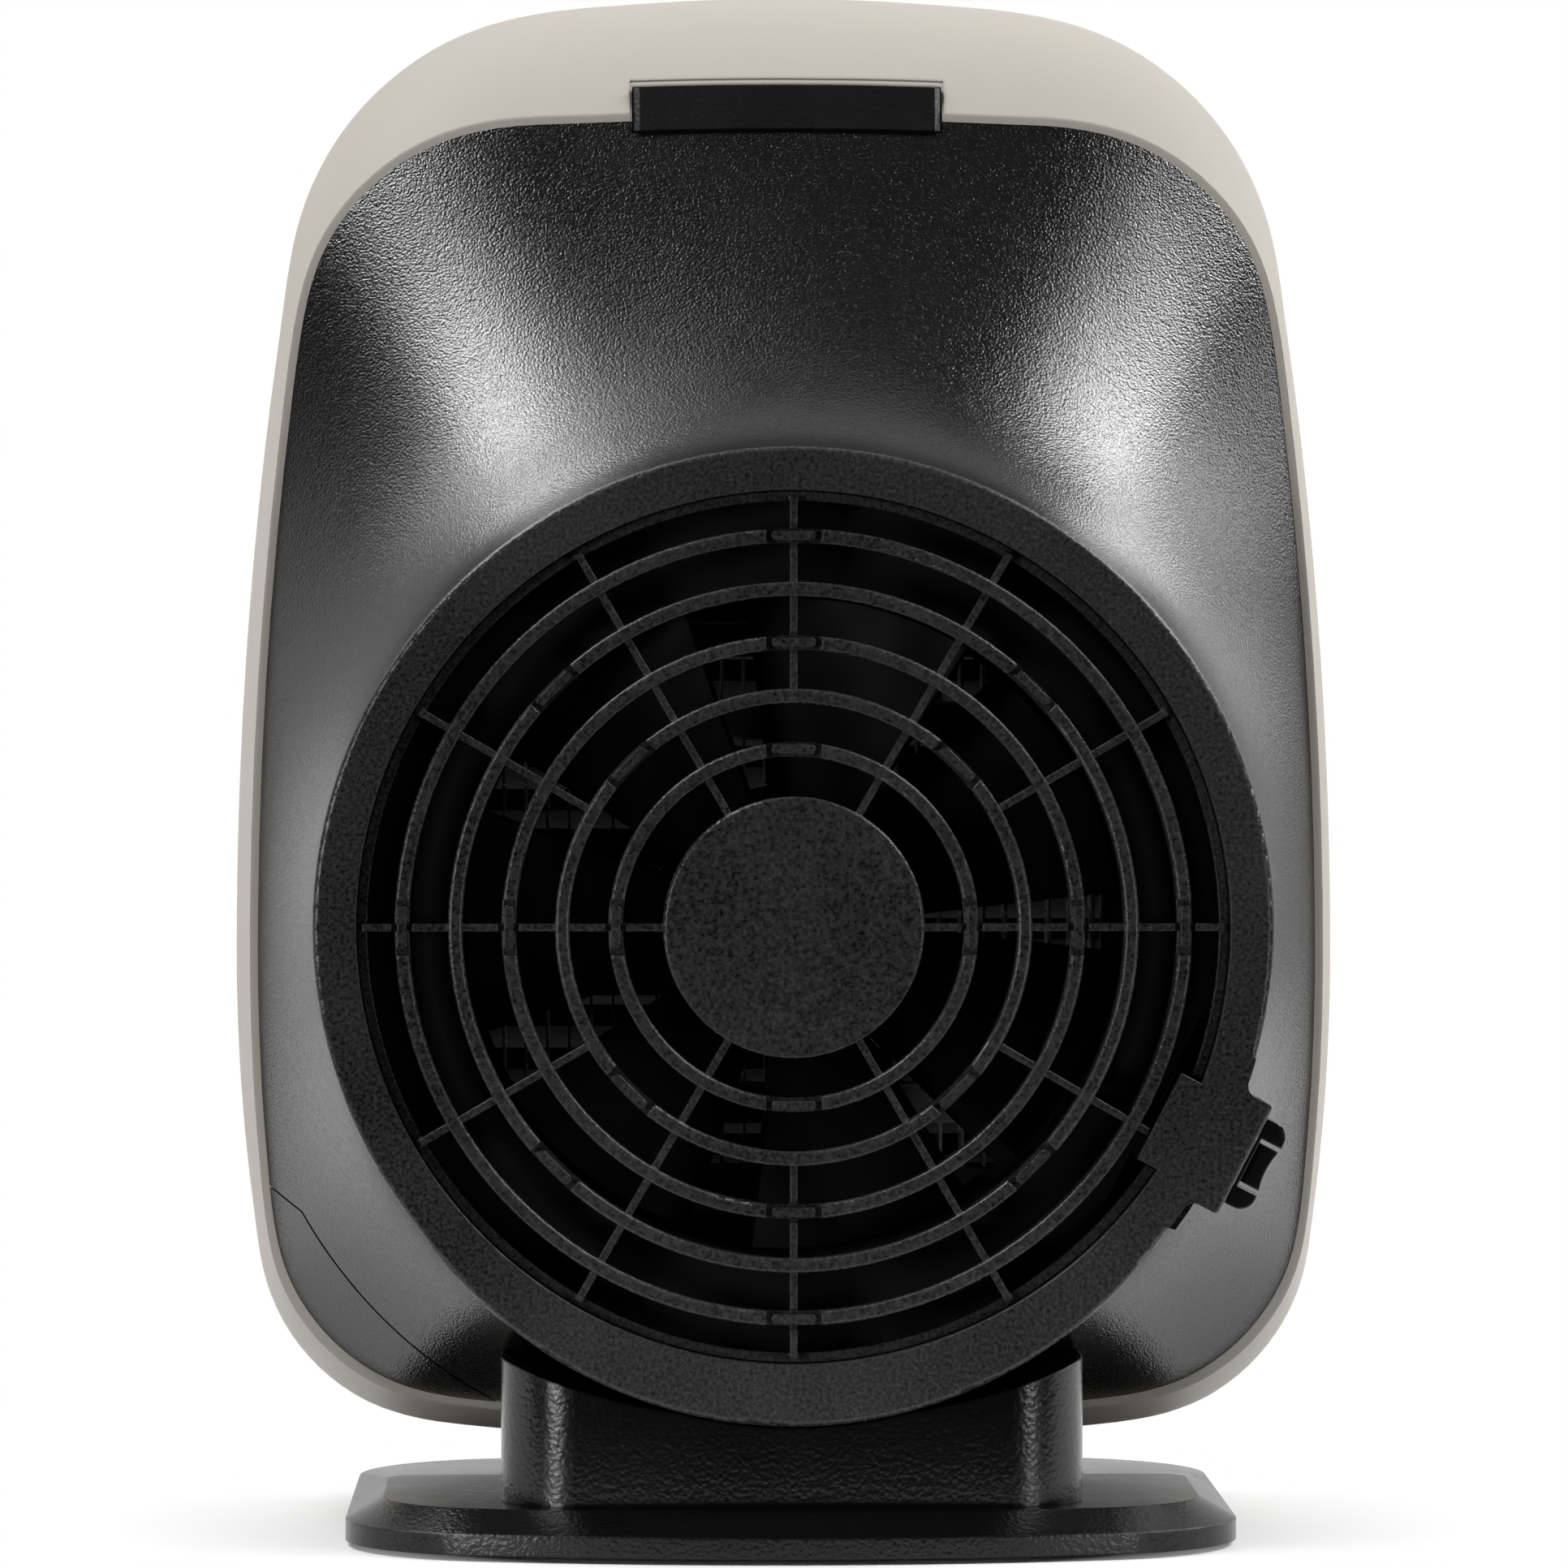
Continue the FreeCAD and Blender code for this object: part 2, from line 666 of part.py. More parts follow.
def housing_chunk():
    """Block on the drum's flank that carries the switch, with hollow corners against the drum."""
    drum = rod(DRUM_R, HOUSING_Y, DRUM_FACE_Y)
    inner = radial_block(HOUSING_INNER, BORE_R + BITE, HOUSING_INNER_HALF, HOUSING_Y, DRUM_FACE_Y)
    outer = radial_block(BORE_R, HOUSING_OUTER, HOUSING_HALF, HOUSING_Y, DRUM_FACE_Y)
    body = drum.fuse(outer).removeSplitter()
    root_x = math.sqrt(DRUM_R ** 2 - HOUSING_HALF ** 2)
    body = body.makeFillet(HOUSING_FILLET, side_edges(body, root_x))
    body = body.makeFillet(HOUSING_CORNER, side_edges(body, HOUSING_OUTER))
    half = HOUSING_HALF + 3 * HOUSING_FILLET
    near = radial_block(BORE_R - OVER, HOUSING_OUTER + OVER, half, HOUSING_Y, DRUM_FACE_Y)
    body = body.common(near).cut(rod(BORE_R, HOUSING_Y - OVER, DRUM_FACE_Y + OVER))
    return at_angle(body.fuse(inner).removeSplitter(), SWITCH_ANGLE)


def switch_pocket():
    deep = HOUSING_OUTER - SWITCH_BODY_DEEP - TERMINAL_LENGTH - FIT
    half = SWITCH_BODY_HALF + FIT
    pocket = radial_block(deep, HOUSING_OUTER + OVER, half, HOUSING_Y - OVER,
                          SWITCH_Y + SWITCH_HALF_WIDTH + FIT)
    wall = radial_block(HOUSING_OUTER - WALL, HOUSING_OUTER + 2 * OVER, half, HOUSING_Y - 2 * OVER,
                        SWITCH_Y - SWITCH_HALF_WIDTH - FIT)
    return at_angle(pocket.cut(wall), SWITCH_ANGLE)


def make_intake_ring():
    face_back = DRUM_FACE_Y - WALL
    start = RING_Y + SEAM
    ring = drum_volume(0, start)
    rim_edges = [e for e in ring.Edges if e.BoundBox.YMin > DRUM_FACE_Y - TOUCH]
    ring = ring.makeFillet(RIM_ROUND, rim_edges)
    groove = pipe(DRUM_R - WALL, BORE_R + COLLAR_WALL, start - OVER, face_back)
    collar = rod(BORE_R + COLLAR_WALL, COLLAR_END_Y, face_back + BITE)
    spigot = pipe(DRUM_R - WALL - FIT, DRUM_R - 2 * WALL, RING_Y - SPIGOT_DEPTH, face_back + BITE)
    bore = rod(BORE_R, COLLAR_END_Y - OVER, DRUM_FACE_Y + OVER)
    ring = fuse_all([ring.cut(groove), spigot, collar]).cut(bore)
    return fuse_all([ring, housing_chunk()]).cut(switch_pocket())


def neck_screw_bosses(radius, low, high):
    return [post(radius, 0, y, low, high) for y in NECK_SCREW_YS]


def make_rear_cover_blank():
    cover = cover_volume(0).cut(cover_volume(WALL, LOFT_OVER))
    outside = cover_volume(0)
    tip_z = NECK_SCREW_Z + NECK_SCREW_LENGTH
    bosses = [boss.common(outside) for boss in neck_screw_bosses(BOSS_R, 0, tip_z + 2 * SCREW_SPARE)]
    cover = fuse_all([cover] + bosses).cut(neck_screw_bosses(SCREW_R + RUN_FIT, 0, tip_z + SCREW_SPARE))
    half = HOUSING_HALF + 3 * HOUSING_FILLET + SEAM
    room = radial_block(HOUSING_INNER, HOUSING_OUTER + 2 * OVER, half, HOUSING_Y - SEAM, DRUM_FACE_Y)
    return cover.cut(at_angle(room, SWITCH_ANGLE)).cut(tab_notch(COVER_Y - OVER))


def panel_region(gap):
    """Space of the lower corner panel, beyond the seam circle and below its short upper step."""
    big = block(PANEL_END_X - gap, CASING_WIDTH, COVER_Y - OVER, DRUM_FACE_Y, -AXIS_Z, AXIS_Z)
    region = big.cut(rod(PANEL_SEAM_R - gap, COVER_Y - 2 * OVER, DRUM_FACE_Y + OVER))
    step = block(-CASING_WIDTH, CASING_WIDTH, COVER_Y - 2 * OVER, DRUM_FACE_Y + OVER, gap, CASING_WIDTH)
    step.rotate(V(0, 0, 0), V(0, 1, 0), -PANEL_STEP_SLOPE)
    step.translate(V(PANEL_STEP_X, 0, PANEL_STEP_Z))
    return region.cut(step)


def make_rear_cover(blank):
    return blank.cut(panel_region(SEAM))


def make_corner_panel(blank):
    return blank.common(panel_region(0))


def make_cord_inlet():
    """Bush in the shell's underside in front of the neck, with the hole for the supply lead."""
    bush = post(INLET_BUSH_R - RUN_FIT, INLET_X, INLET_Y, 0, AXIS_Z / 2).common(shell_volume(-INLET_PROUD))
    bush = bush.cut(shell_volume(WALL + INLET_LENGTH))
    return bush.cut(post(CORD_HOLE_R, INLET_X, INLET_Y, 0, AXIS_Z / 2))


def tab_bar(grow, back, set_back):
    """Bar in the tab's space whose rear face leans with the hood."""
    beyond = block(-CASING_WIDTH, CASING_WIDTH, 0, CASING_WIDTH, -CASING_WIDTH, CASING_WIDTH)
    beyond.rotate(V(0, 0, 0), V(1, 0, 0), TAB_LEAN)
    beyond.translate(V(0, COVER_Y + TAB_PROUD - set_back, COVER_TOP - TAB_DROP))
    return tab_space(grow, grow, back, DRUM_FACE_Y).cut(beyond)


def make_top_tab():
    """Hollow tab with bevelled ends, and a flange behind the walls that keeps it in its notch."""
    back = COVER_Y - TAB_DEEP
    bar = tab_bar(0, back, 0)
    ends = []
    for edge in bar.Edges:
        if all(abs(abs(v.X) - TAB_HALF) < TOUCH and v.Y > back + TOUCH for v in edge.Vertexes):
            ends.append(edge)
    bar = bar.makeChamfer(TAB_BEVEL, ends)
    flange = tab_space(TAB_LAP, TAB_LAP, back, RING_Y)
    behind = [flange.common(shell_volume(WALL + FIT)), flange.common(cover_volume(WALL + FIT))]
    return fuse_all([bar] + behind).cut(tab_bar(-TAB_WALL, back - OVER, TAB_WALL))


# Intake grille


def round_front(shape, y):
    """Round the edges that lie in the face at y."""
    return shape.makeFillet(RING_ROUND, [e for e in shape.Edges if e.BoundBox.YMin > y - TOUCH])


def make_intake_grille():
    hoop_r = BORE_R - FIT
    notch_y = GRILLE_Y - NOTCH_DROP
    spoke_front = GRILLE_Y - SPOKE_DROP
    pieces = [round_front(rod(HUB_R, GRILLE_Y - HUB_THICK, GRILLE_Y), GRILLE_Y)]
    pieces.append(pipe(HUB_R, HUB_R - HUB_SKIRT, GRILLE_BACK_Y, GRILLE_Y - HUB_THICK))
    pieces.append(pipe(hoop_r, hoop_r - HOOP_WIDTH, GRILLE_BACK_Y, GRILLE_BACK_Y + HOOP_DEPTH))
    half = RING_WIDTH / 2
    rings = [round_front(pipe(r + half, r - half, GRILLE_BACK_Y, GRILLE_Y), GRILLE_Y) for r in RING_RADII]
    step = 360.0 / PADS_PER_RING
    notches = []
    pads = []
    for k, r in enumerate(RING_RADII):
        for turn in range(PADS_PER_RING):
            angle = step * (turn + (k % 2) / 2)
            notch = radial_block(r - NOTCH_HALF, r + NOTCH_HALF, NOTCH_LENGTH / 2, notch_y, GRILLE_Y + OVER)
            notches.append(at_angle(notch, angle))
            pad = radial_block(r - PAD_WIDTH / 2, r + PAD_WIDTH / 2, PAD_LENGTH / 2,
                               notch_y - PAD_ROOT, notch_y + PAD_RISE)
            ends = [e for e in pad.Edges if abs(e.BoundBox.YLength - PAD_ROOT - PAD_RISE) < TOUCH]
            pads.append(at_angle(pad.makeFillet(PAD_ROUND, ends), angle))
    spokes = []
    for k in range(SPOKE_COUNT):
        inner = HUB_R - HUB_SKIRT / 2 if k % 2 == 0 else RING_RADII[1]
        spoke = radial_block(inner, hoop_r - HOOP_WIDTH / 2, SPOKE_WIDTH / 2, GRILLE_BACK_Y, spoke_front)
        spokes.append(at_angle(spoke, 360.0 * k / SPOKE_COUNT))
    grille = fuse_all([fuse_all(pieces + rings + spokes).cut(notches)] + pads)
    room = radial_block(HOUSING_INNER - SEAM, HOUSING_OUTER, HOUSING_INNER_HALF + SEAM, HOUSING_Y,
                        DRUM_FACE_Y + OVER)
    return grille.cut(at_angle(room, SWITCH_ANGLE))


# Main switch


def make_switch_body():
    face = HOUSING_OUTER
    body = radial_block(face - SWITCH_BODY_DEEP, face, SWITCH_BODY_HALF, SWITCH_Y - SWITCH_HALF_WIDTH,
                        SWITCH_Y + SWITCH_HALF_WIDTH)
    y0 = SWITCH_Y - BEZEL_HALF_WIDTH
    y1 = SWITCH_Y + BEZEL_HALF_WIDTH
    bar = radial_block(face, face + SWITCH_PROUD, BEZEL_HALF, y0, y1)
    tips = []
    for edge in bar.Edges:
        if edge.BoundBox.XMin > face + SWITCH_PROUD - TOUCH and edge.BoundBox.YLength > BEZEL_HALF_WIDTH:
            tips.append(edge)
    bar = bar.makeFillet(SWITCH_ROUND, tips)
    gap = ROCKER_HALF + ROCKER_GAP
    bar = bar.cut(radial_block(face + SWITCH_FLANGE, face + SWITCH_PROUD + OVER, gap, y0 - OVER, y1 + OVER))
    well_half = SWITCH_HALF_WIDTH - SWITCH_WALL
    well = radial_block(face - ROCKER_DEEP, face + SWITCH_PROUD, gap, SWITCH_Y - well_half,
                        SWITCH_Y + well_half)
    pivot = rod(PIVOT_R + RUN_FIT, y0 - OVER, y1 + OVER, face - PIVOT_DEEP, AXIS_Z)
    return at_angle(fuse_all([body, bar]).cut(well).cut(pivot), SWITCH_ANGLE)


def make_switch_rocker():
    face = HOUSING_OUTER
    top = face + SWITCH_PROUD - ROCKER_SINK
    cap_low = face + SWITCH_FLANGE + ROCKER_CAP_LIFT
    half = SWITCH_HALF_WIDTH - SWITCH_WALL - FIT
    cap_half = BEZEL_HALF_WIDTH - ROCKER_CAP_INSET
    stem = radial_block(face - ROCKER_STEM_END, cap_low, ROCKER_HALF, SWITCH_Y - half, SWITCH_Y + half)
    cap = radial_block(cap_low, top, ROCKER_HALF, SWITCH_Y - cap_half, SWITCH_Y + cap_half)
    dish_r = (ROCKER_HALF ** 2 + ROCKER_DISH ** 2) / (2 * ROCKER_DISH)
    dish = rod(dish_r, SWITCH_Y - 2 * cap_half, SWITCH_Y + 2 * cap_half, top + dish_r - ROCKER_DISH, AXIS_Z)
    pivot = rod(PIVOT_R, SWITCH_Y - SWITCH_HALF_WIDTH, SWITCH_Y + SWITCH_HALF_WIDTH, face - PIVOT_DEEP,
                AXIS_Z)
    return at_angle(fuse_all([stem, cap.cut(dish), pivot]), SWITCH_ANGLE)


def make_switch_terminals():
    top = HOUSING_OUTER - SWITCH_BODY_DEEP
    blades = []
    for side in (-1, 1):
        z = AXIS_Z + side * LEAD_SPREAD
        blade = block(top - TERMINAL_LENGTH, top, SWITCH_Y - BLADE_REACH, SWITCH_Y + BLADE_REACH,
                      z - BLADE_HALF, z + BLADE_HALF)
        blades.append(at_angle(blade, SWITCH_ANGLE))
    return blades


# Fan shroud, fan and motor


def make_fan_shroud():
    plate = pipe(SHROUD_PLATE_R, INLET_R, COLLAR_END_Y - SHROUD_PLATE, COLLAR_END_Y)
    tube = pipe(INLET_R + SHROUD_WALL, INLET_R, TUBE_END_Y, COLLAR_END_Y)
    ribs = []
    for k in range(SPOKE_COUNT):
        rib = radial_block(INLET_R + SHROUD_WALL / 2, BORE_R - 2 * FIT, SHROUD_RIB / 2,
                           COLLAR_END_Y - SHROUD_PLATE / 2, GRILLE_BACK_Y - SEAM)
        ribs.append(at_angle(rib, 360.0 * k / SPOKE_COUNT))
    bosses = []
    holes = []
    for angle in SPIDER_SCREW_ANGLES:
        x, z = on_circle(SPIDER_SCREW_R, angle)
        hole_end = TUBE_END_Y + BRACKET_SCREW_BITE + SCREW_SPARE
        bosses.append(rod(BOSS_R, TUBE_END_Y, TUBE_END_Y + BOSS_LENGTH, x, z))
        holes.append(rod(SCREW_R + RUN_FIT, TUBE_END_Y - OVER, hole_end, x, z))
    bore = rod(INLET_R, TUBE_END_Y - OVER, DRUM_FACE_Y)
    shroud = fuse_all([plate, tube] + ribs + bosses).cut(bore)
    half = HOUSING_HALF + 4 * HOUSING_FILLET
    room = radial_block(HOUSING_INNER - SEAM, HOUSING_OUTER, half, HOUSING_Y - SEAM, DRUM_FACE_Y + OVER)
    return shroud.cut(at_angle(room, SWITCH_ANGLE)).cut(holes)


def blade_section(r, chord, pitch):
    """Closed wire of one blade's section, set at its pitch on a plane at radius r."""
    turn = math.radians(pitch)
    along = V(0, math.sin(turn), math.cos(turn))
    across = V(0, math.cos(turn), -math.sin(turn))
    centre = V(r, FAN_FRONT_Y + FAN_HUB_DEPTH / 2, AXIS_Z)
    corners = []
    for a, b in ((-1, -1), (1, -1), (1, 1), (-1, 1)):
        corners.append(centre + along * (a * chord / 2) + across * (b * BLADE_THICK / 2))
    return Part.makePolygon(corners + [corners[0]])


def make_fan_impeller():
    hub_back = FAN_BACK_Y
    hub = rod(FAN_HUB_R, FAN_FRONT_Y, hub_back)
    rear_edge = [e for e in hub.Edges if abs(e.BoundBox.YMin - hub_back) < TOUCH]
    hub = hub.makeFillet(FAN_HUB_ROUND, rear_edge)
    hub = hub.cut(rod(FAN_HUB_R - FAN_HUB_WALL, FAN_FRONT_Y - OVER, hub_back - FAN_HUB_WALL))
    boss = rod(FAN_BOSS_R, FAN_FRONT_Y, hub_back)
    root_r = FAN_HUB_R - FAN_HUB_WALL / 2
    root = blade_section(root_r, BLADE_ROOT_CHORD, BLADE_ROOT_PITCH)
    tip = blade_section(FAN_TIP_R, BLADE_TIP_CHORD, BLADE_TIP_PITCH)
    reach = pipe(FAN_TIP_R, root_r, FAN_FRONT_Y - 2 * OVER, hub_back + 2 * OVER)
    blade = Part.makeLoft([root, tip], True, True).common(reach)
    blades = [turned(blade, 360.0 * k / BLADE_COUNT) for k in range(BLADE_COUNT)]
    return fuse_all([hub, boss] + blades).cut(rod(SHAFT_R + RUN_FIT, FAN_FRONT_Y - OVER, hub_back + OVER))


def make_motor_shaft():
    return rod(SHAFT_R, SHAFT_FRONT_Y, SHAFT_REAR_Y)


def make_fan_clip():
    return pipe(CLIP_R, SHAFT_R + RUN_FIT, FAN_BACK_Y, FAN_BACK_Y + CLIP_THICK)


def make_motor_can():
    can = pipe(MOTOR_R, MOTOR_R - MOTOR_WALL, MOTOR_FRONT_Y, SPIDER_Y)
    rear_end = rod(MOTOR_R, SPIDER_Y - MOTOR_WALL, SPIDER_Y)
    front_end = rod(MOTOR_R, MOTOR_FRONT_Y, MOTOR_FRONT_Y + MOTOR_WALL)
    nose = rod(NOSE_R, SPIDER_Y - NOSE_LENGTH, SPIDER_Y + NOSE_LENGTH)
    tail = rod(NOSE_R, MOTOR_FRONT_Y, MOTOR_FRONT_Y + NOSE_LENGTH)
    can = fuse_all([can, nose, tail, rear_end, front_end])
    can = can.cut(rod(SHAFT_R + SHAFT_ROOM, MOTOR_FRONT_Y - OVER, SPIDER_Y + NOSE_LENGTH + OVER))
    can = can.cut(rod(BUSH_R + RUN_FIT, SPIDER_Y + NOSE_LENGTH - BUSH_LENGTH, SPIDER_Y + NOSE_LENGTH + OVER))
    can = can.cut(rod(BUSH_R + RUN_FIT, MOTOR_FRONT_Y - OVER, MOTOR_FRONT_Y + BUSH_LENGTH - BUSH_PROUD))
    holes = []
    for angle in MOTOR_SCREW_ANGLES:
        x, z = on_circle(MOTOR_SCREW_R, angle)
        holes.append(rod(SCREW_R + RUN_FIT, SPIDER_Y - MOTOR_WALL - OVER, SPIDER_Y + OVER, x, z))
    return can.cut(holes)


def make_motor_bushes():
    rear = pipe(BUSH_R, SHAFT_R + RUN_FIT, SPIDER_Y + NOSE_LENGTH - BUSH_LENGTH, SPIDER_Y + NOSE_LENGTH)
    front_y = MOTOR_FRONT_Y - BUSH_PROUD
    front = pipe(BUSH_R, SHAFT_R + RUN_FIT, front_y, front_y + BUSH_LENGTH)
    return [rear, front]


def make_motor_stator():
    half = STATOR_LENGTH / 2
    outer = MOTOR_R - MOTOR_WALL - RUN_FIT
    return pipe(outer, ROTOR_R + AIR_GAP, ROTOR_MIDDLE_Y - half, ROTOR_MIDDLE_Y + half)


def make_motor_rotor():
    half = STATOR_LENGTH / 2
    return pipe(ROTOR_R, SHAFT_R + RUN_FIT, ROTOR_MIDDLE_Y - half, ROTOR_MIDDLE_Y + half)


def make_motor_bracket():
    rim_r = SPIDER_SCREW_R + BOSS_R
    rim = pipe(rim_r, rim_r - SPIDER_RIM, SPIDER_Y, TUBE_END_Y)
    hub = rod(SPIDER_HUB_R, SPIDER_Y, TUBE_END_Y)
    arms = []
    for angle in SPIDER_SCREW_ANGLES:
        arm = radial_block(SPIDER_HUB_R - SPIDER_ARM / 2, rim_r - SPIDER_RIM / 2, SPIDER_ARM / 2,
                           SPIDER_Y, TUBE_END_Y)
        arms.append(turned(arm, angle))
    holes = [rod(NOSE_R + RUN_FIT, SPIDER_Y - OVER, TUBE_END_Y + OVER)]
    for angle in SPIDER_SCREW_ANGLES:
        x, z = on_circle(SPIDER_SCREW_R, angle)
        holes.append(rod(SCREW_R + RUN_FIT, SPIDER_Y - OVER, TUBE_END_Y + OVER, x, z))
    for angle in MOTOR_SCREW_ANGLES:
        x, z = on_circle(MOTOR_SCREW_R, angle)
        holes.append(rod(SCREW_R + RUN_FIT, SPIDER_Y - OVER, TUBE_END_Y + OVER, x, z))
    return fuse_all([rim, hub] + arms).cut(holes)


def make_bracket_screws():
    screws = []
    for angle in SPIDER_SCREW_ANGLES:
        x, z = on_circle(SPIDER_SCREW_R, angle)
        screws.append(screw_along_y(x, z, DUCT_REAR_Y, TUBE_END_Y + BRACKET_SCREW_BITE))
    return screws


def make_motor_screws():
    screws = []
    for angle in MOTOR_SCREW_ANGLES:
        x, z = on_circle(MOTOR_SCREW_R, angle)
        screws.append(screw_along_y(x, z, TUBE_END_Y, SPIDER_Y - MOTOR_WALL))
    return screws


# Air duct and heating element


def make_air_duct():
    half_w = DUCT_WIDTH / 2
    half_h = DUCT_HEIGHT / 2
    outer = block(-half_w - DUCT_WALL, half_w + DUCT_WALL, PANEL_REAR_Y, SPIDER_Y,
                  AXIS_Z - half_h - DUCT_WALL, AXIS_Z + half_h + DUCT_WALL)
    inner = block(-half_w, half_w, PANEL_REAR_Y - OVER, DUCT_REAR_Y, AXIS_Z - half_h, AXIS_Z + half_h)
    duct = outer.cut(inner).cut(rod(INLET_R - DUCT_HOLE_LIP, DUCT_REAR_Y - OVER, SPIDER_Y + OVER))
    holes = []
    for angle in SPIDER_SCREW_ANGLES:
        x, z = on_circle(SPIDER_SCREW_R, angle)
        holes.append(rod(SCREW_R + RUN_FIT, DUCT_REAR_Y - OVER, SPIDER_Y + OVER, x, z))
    return duct.cut(holes)


def make_ptc_frame():
    half_w = PTC_HALF_W - PTC_FRAME_RIM
    half_h = PTC_HALF_H - PTC_FRAME_RIM
    outer = block(-PTC_HALF_W, PTC_HALF_W, PTC_FRONT_Y, PTC_REAR_Y, AXIS_Z - PTC_HALF_H, AXIS_Z + PTC_HALF_H)
    inner = block(-half_w, half_w, PTC_FRONT_Y - OVER, PTC_REAR_Y + OVER, AXIS_Z - half_h, AXIS_Z + half_h)
    return outer.cut(inner)


def ptc_row_z(row):
    return AXIS_Z - PTC_HALF_H + PTC_FRAME_RIM + PTC_ROW * (row + 0.5)


def make_ptc_bars():
    bars = []
    half = PTC_HALF_W - PTC_FRAME_RIM
    for row in range(PTC_BAR_COUNT):
        z = ptc_row_z(row)
        bars.append(block(-half, half, PTC_FRONT_Y + PTC_SET, PTC_REAR_Y - PTC_SET,
                          z - PTC_BAR_HEIGHT / 2, z + PTC_BAR_HEIGHT / 2))
    return bars


def make_ptc_fins():
    """Fin packs between the ceramic bars, each a backing strip with upright fins."""
    fins = []
    half = PTC_HALF_W - PTC_FRAME_RIM
    front = PTC_FRONT_Y + PTC_SET
    rear = PTC_REAR_Y - PTC_SET
    count = int(2 * half / FIN_PITCH)
    for row in range(PTC_BAR_COUNT):
        z = ptc_row_z(row)
        for side in (-1, 1):
            near = z + side * PTC_BAR_HEIGHT / 2
            far = z + side * (PTC_ROW - SEAM) / 2
            strip_far = near + side * FIN_THICK
            pack = [block(-half, half, front, rear, min(near, strip_far), max(near, strip_far))]
            for k in range(count):
                x = -half + FIN_PITCH * (k + 0.5)
                fin = block(x - FIN_THICK / 2, x + FIN_THICK / 2, front, rear, min(near, far), max(near, far))
                pack.append(fin)
            fins.append(fuse_all(pack))
    return fins


def make_thermal_cutout():
    disc = post(CUTOUT_R, 0, CUTOUT_Y, DUCT_TOP_Z, DUCT_TOP_Z + CUTOUT_HEIGHT)
    half = CUTOUT_R + CUTOUT_EAR
    ears = block(-half, half, CUTOUT_Y - CUTOUT_EAR_HALF, CUTOUT_Y + CUTOUT_EAR_HALF, DUCT_TOP_Z,
                 DUCT_TOP_Z + CUTOUT_EAR_THICK)
    return fuse_all([disc, ears])


def make_thermal_fuse():
    return Part.makeCylinder(FUSE_R, FUSE_LENGTH, V(FUSE_X, CUTOUT_Y, DUCT_TOP_Z + FUSE_R), V(1, 0, 0))


def make_power_board():
    half = BOARD_WIDTH / 2
    pieces = [block(-half, half, POWER_Y, POWER_Y + POWER_DEPTH, POWER_Z, COMPONENT_Z)]
    y = POWER_Y + STANDOFF_INSET
    for x in RELAY_XS:
        pieces.append(block(x - RELAY_HALF, x + RELAY_HALF, y, y + RELAY_DEPTH, COMPONENT_Z,
                            COMPONENT_Z + RELAY_HEIGHT))
    capacitor_top = COMPONENT_Z + CAPACITOR_HEIGHT
    pieces.append(post(CAPACITOR_R, CAPACITOR_X, y + RELAY_DEPTH / 2, COMPONENT_Z, capacitor_top))
    return fuse_all(pieces)


def make_power_standoffs():
    posts = []
    for x in (-BOARD_WIDTH / 2 + STANDOFF_INSET, BOARD_WIDTH / 2 - STANDOFF_INSET):
        for y in (POWER_Y + STANDOFF_INSET, POWER_Y + POWER_DEPTH - STANDOFF_INSET):
            posts.append(post(STANDOFF_R, x, y, DUCT_TOP_Z, POWER_Z))
    return posts


# Front panel with louvres and controls


def louvre_slot(z):
    """Slot through the panel that drops towards the front, so that there is no straight way through."""
    half = (LOUVRE_PITCH - LOUVRE_BAR) / 2
    y0 = PANEL_FACE_Y - OVER
    y1 = PANEL_REAR_Y + OVER
    slope = math.tan(math.radians(LOUVRE_SLOPE))
    z0 = z - OVER * slope
    z1 = z + (y1 - PANEL_FACE_Y) * slope
    x = -CASING_WIDTH
    corners = [V(x, y0, z0 - half), V(x, y1, z1 - half), V(x, y1, z1 + half), V(x, y0, z0 + half)]
    face = Part.Face(Part.makePolygon(corners + [corners[0]]))
    return face.extrude(V(2 * CASING_WIDTH, 0, 0))


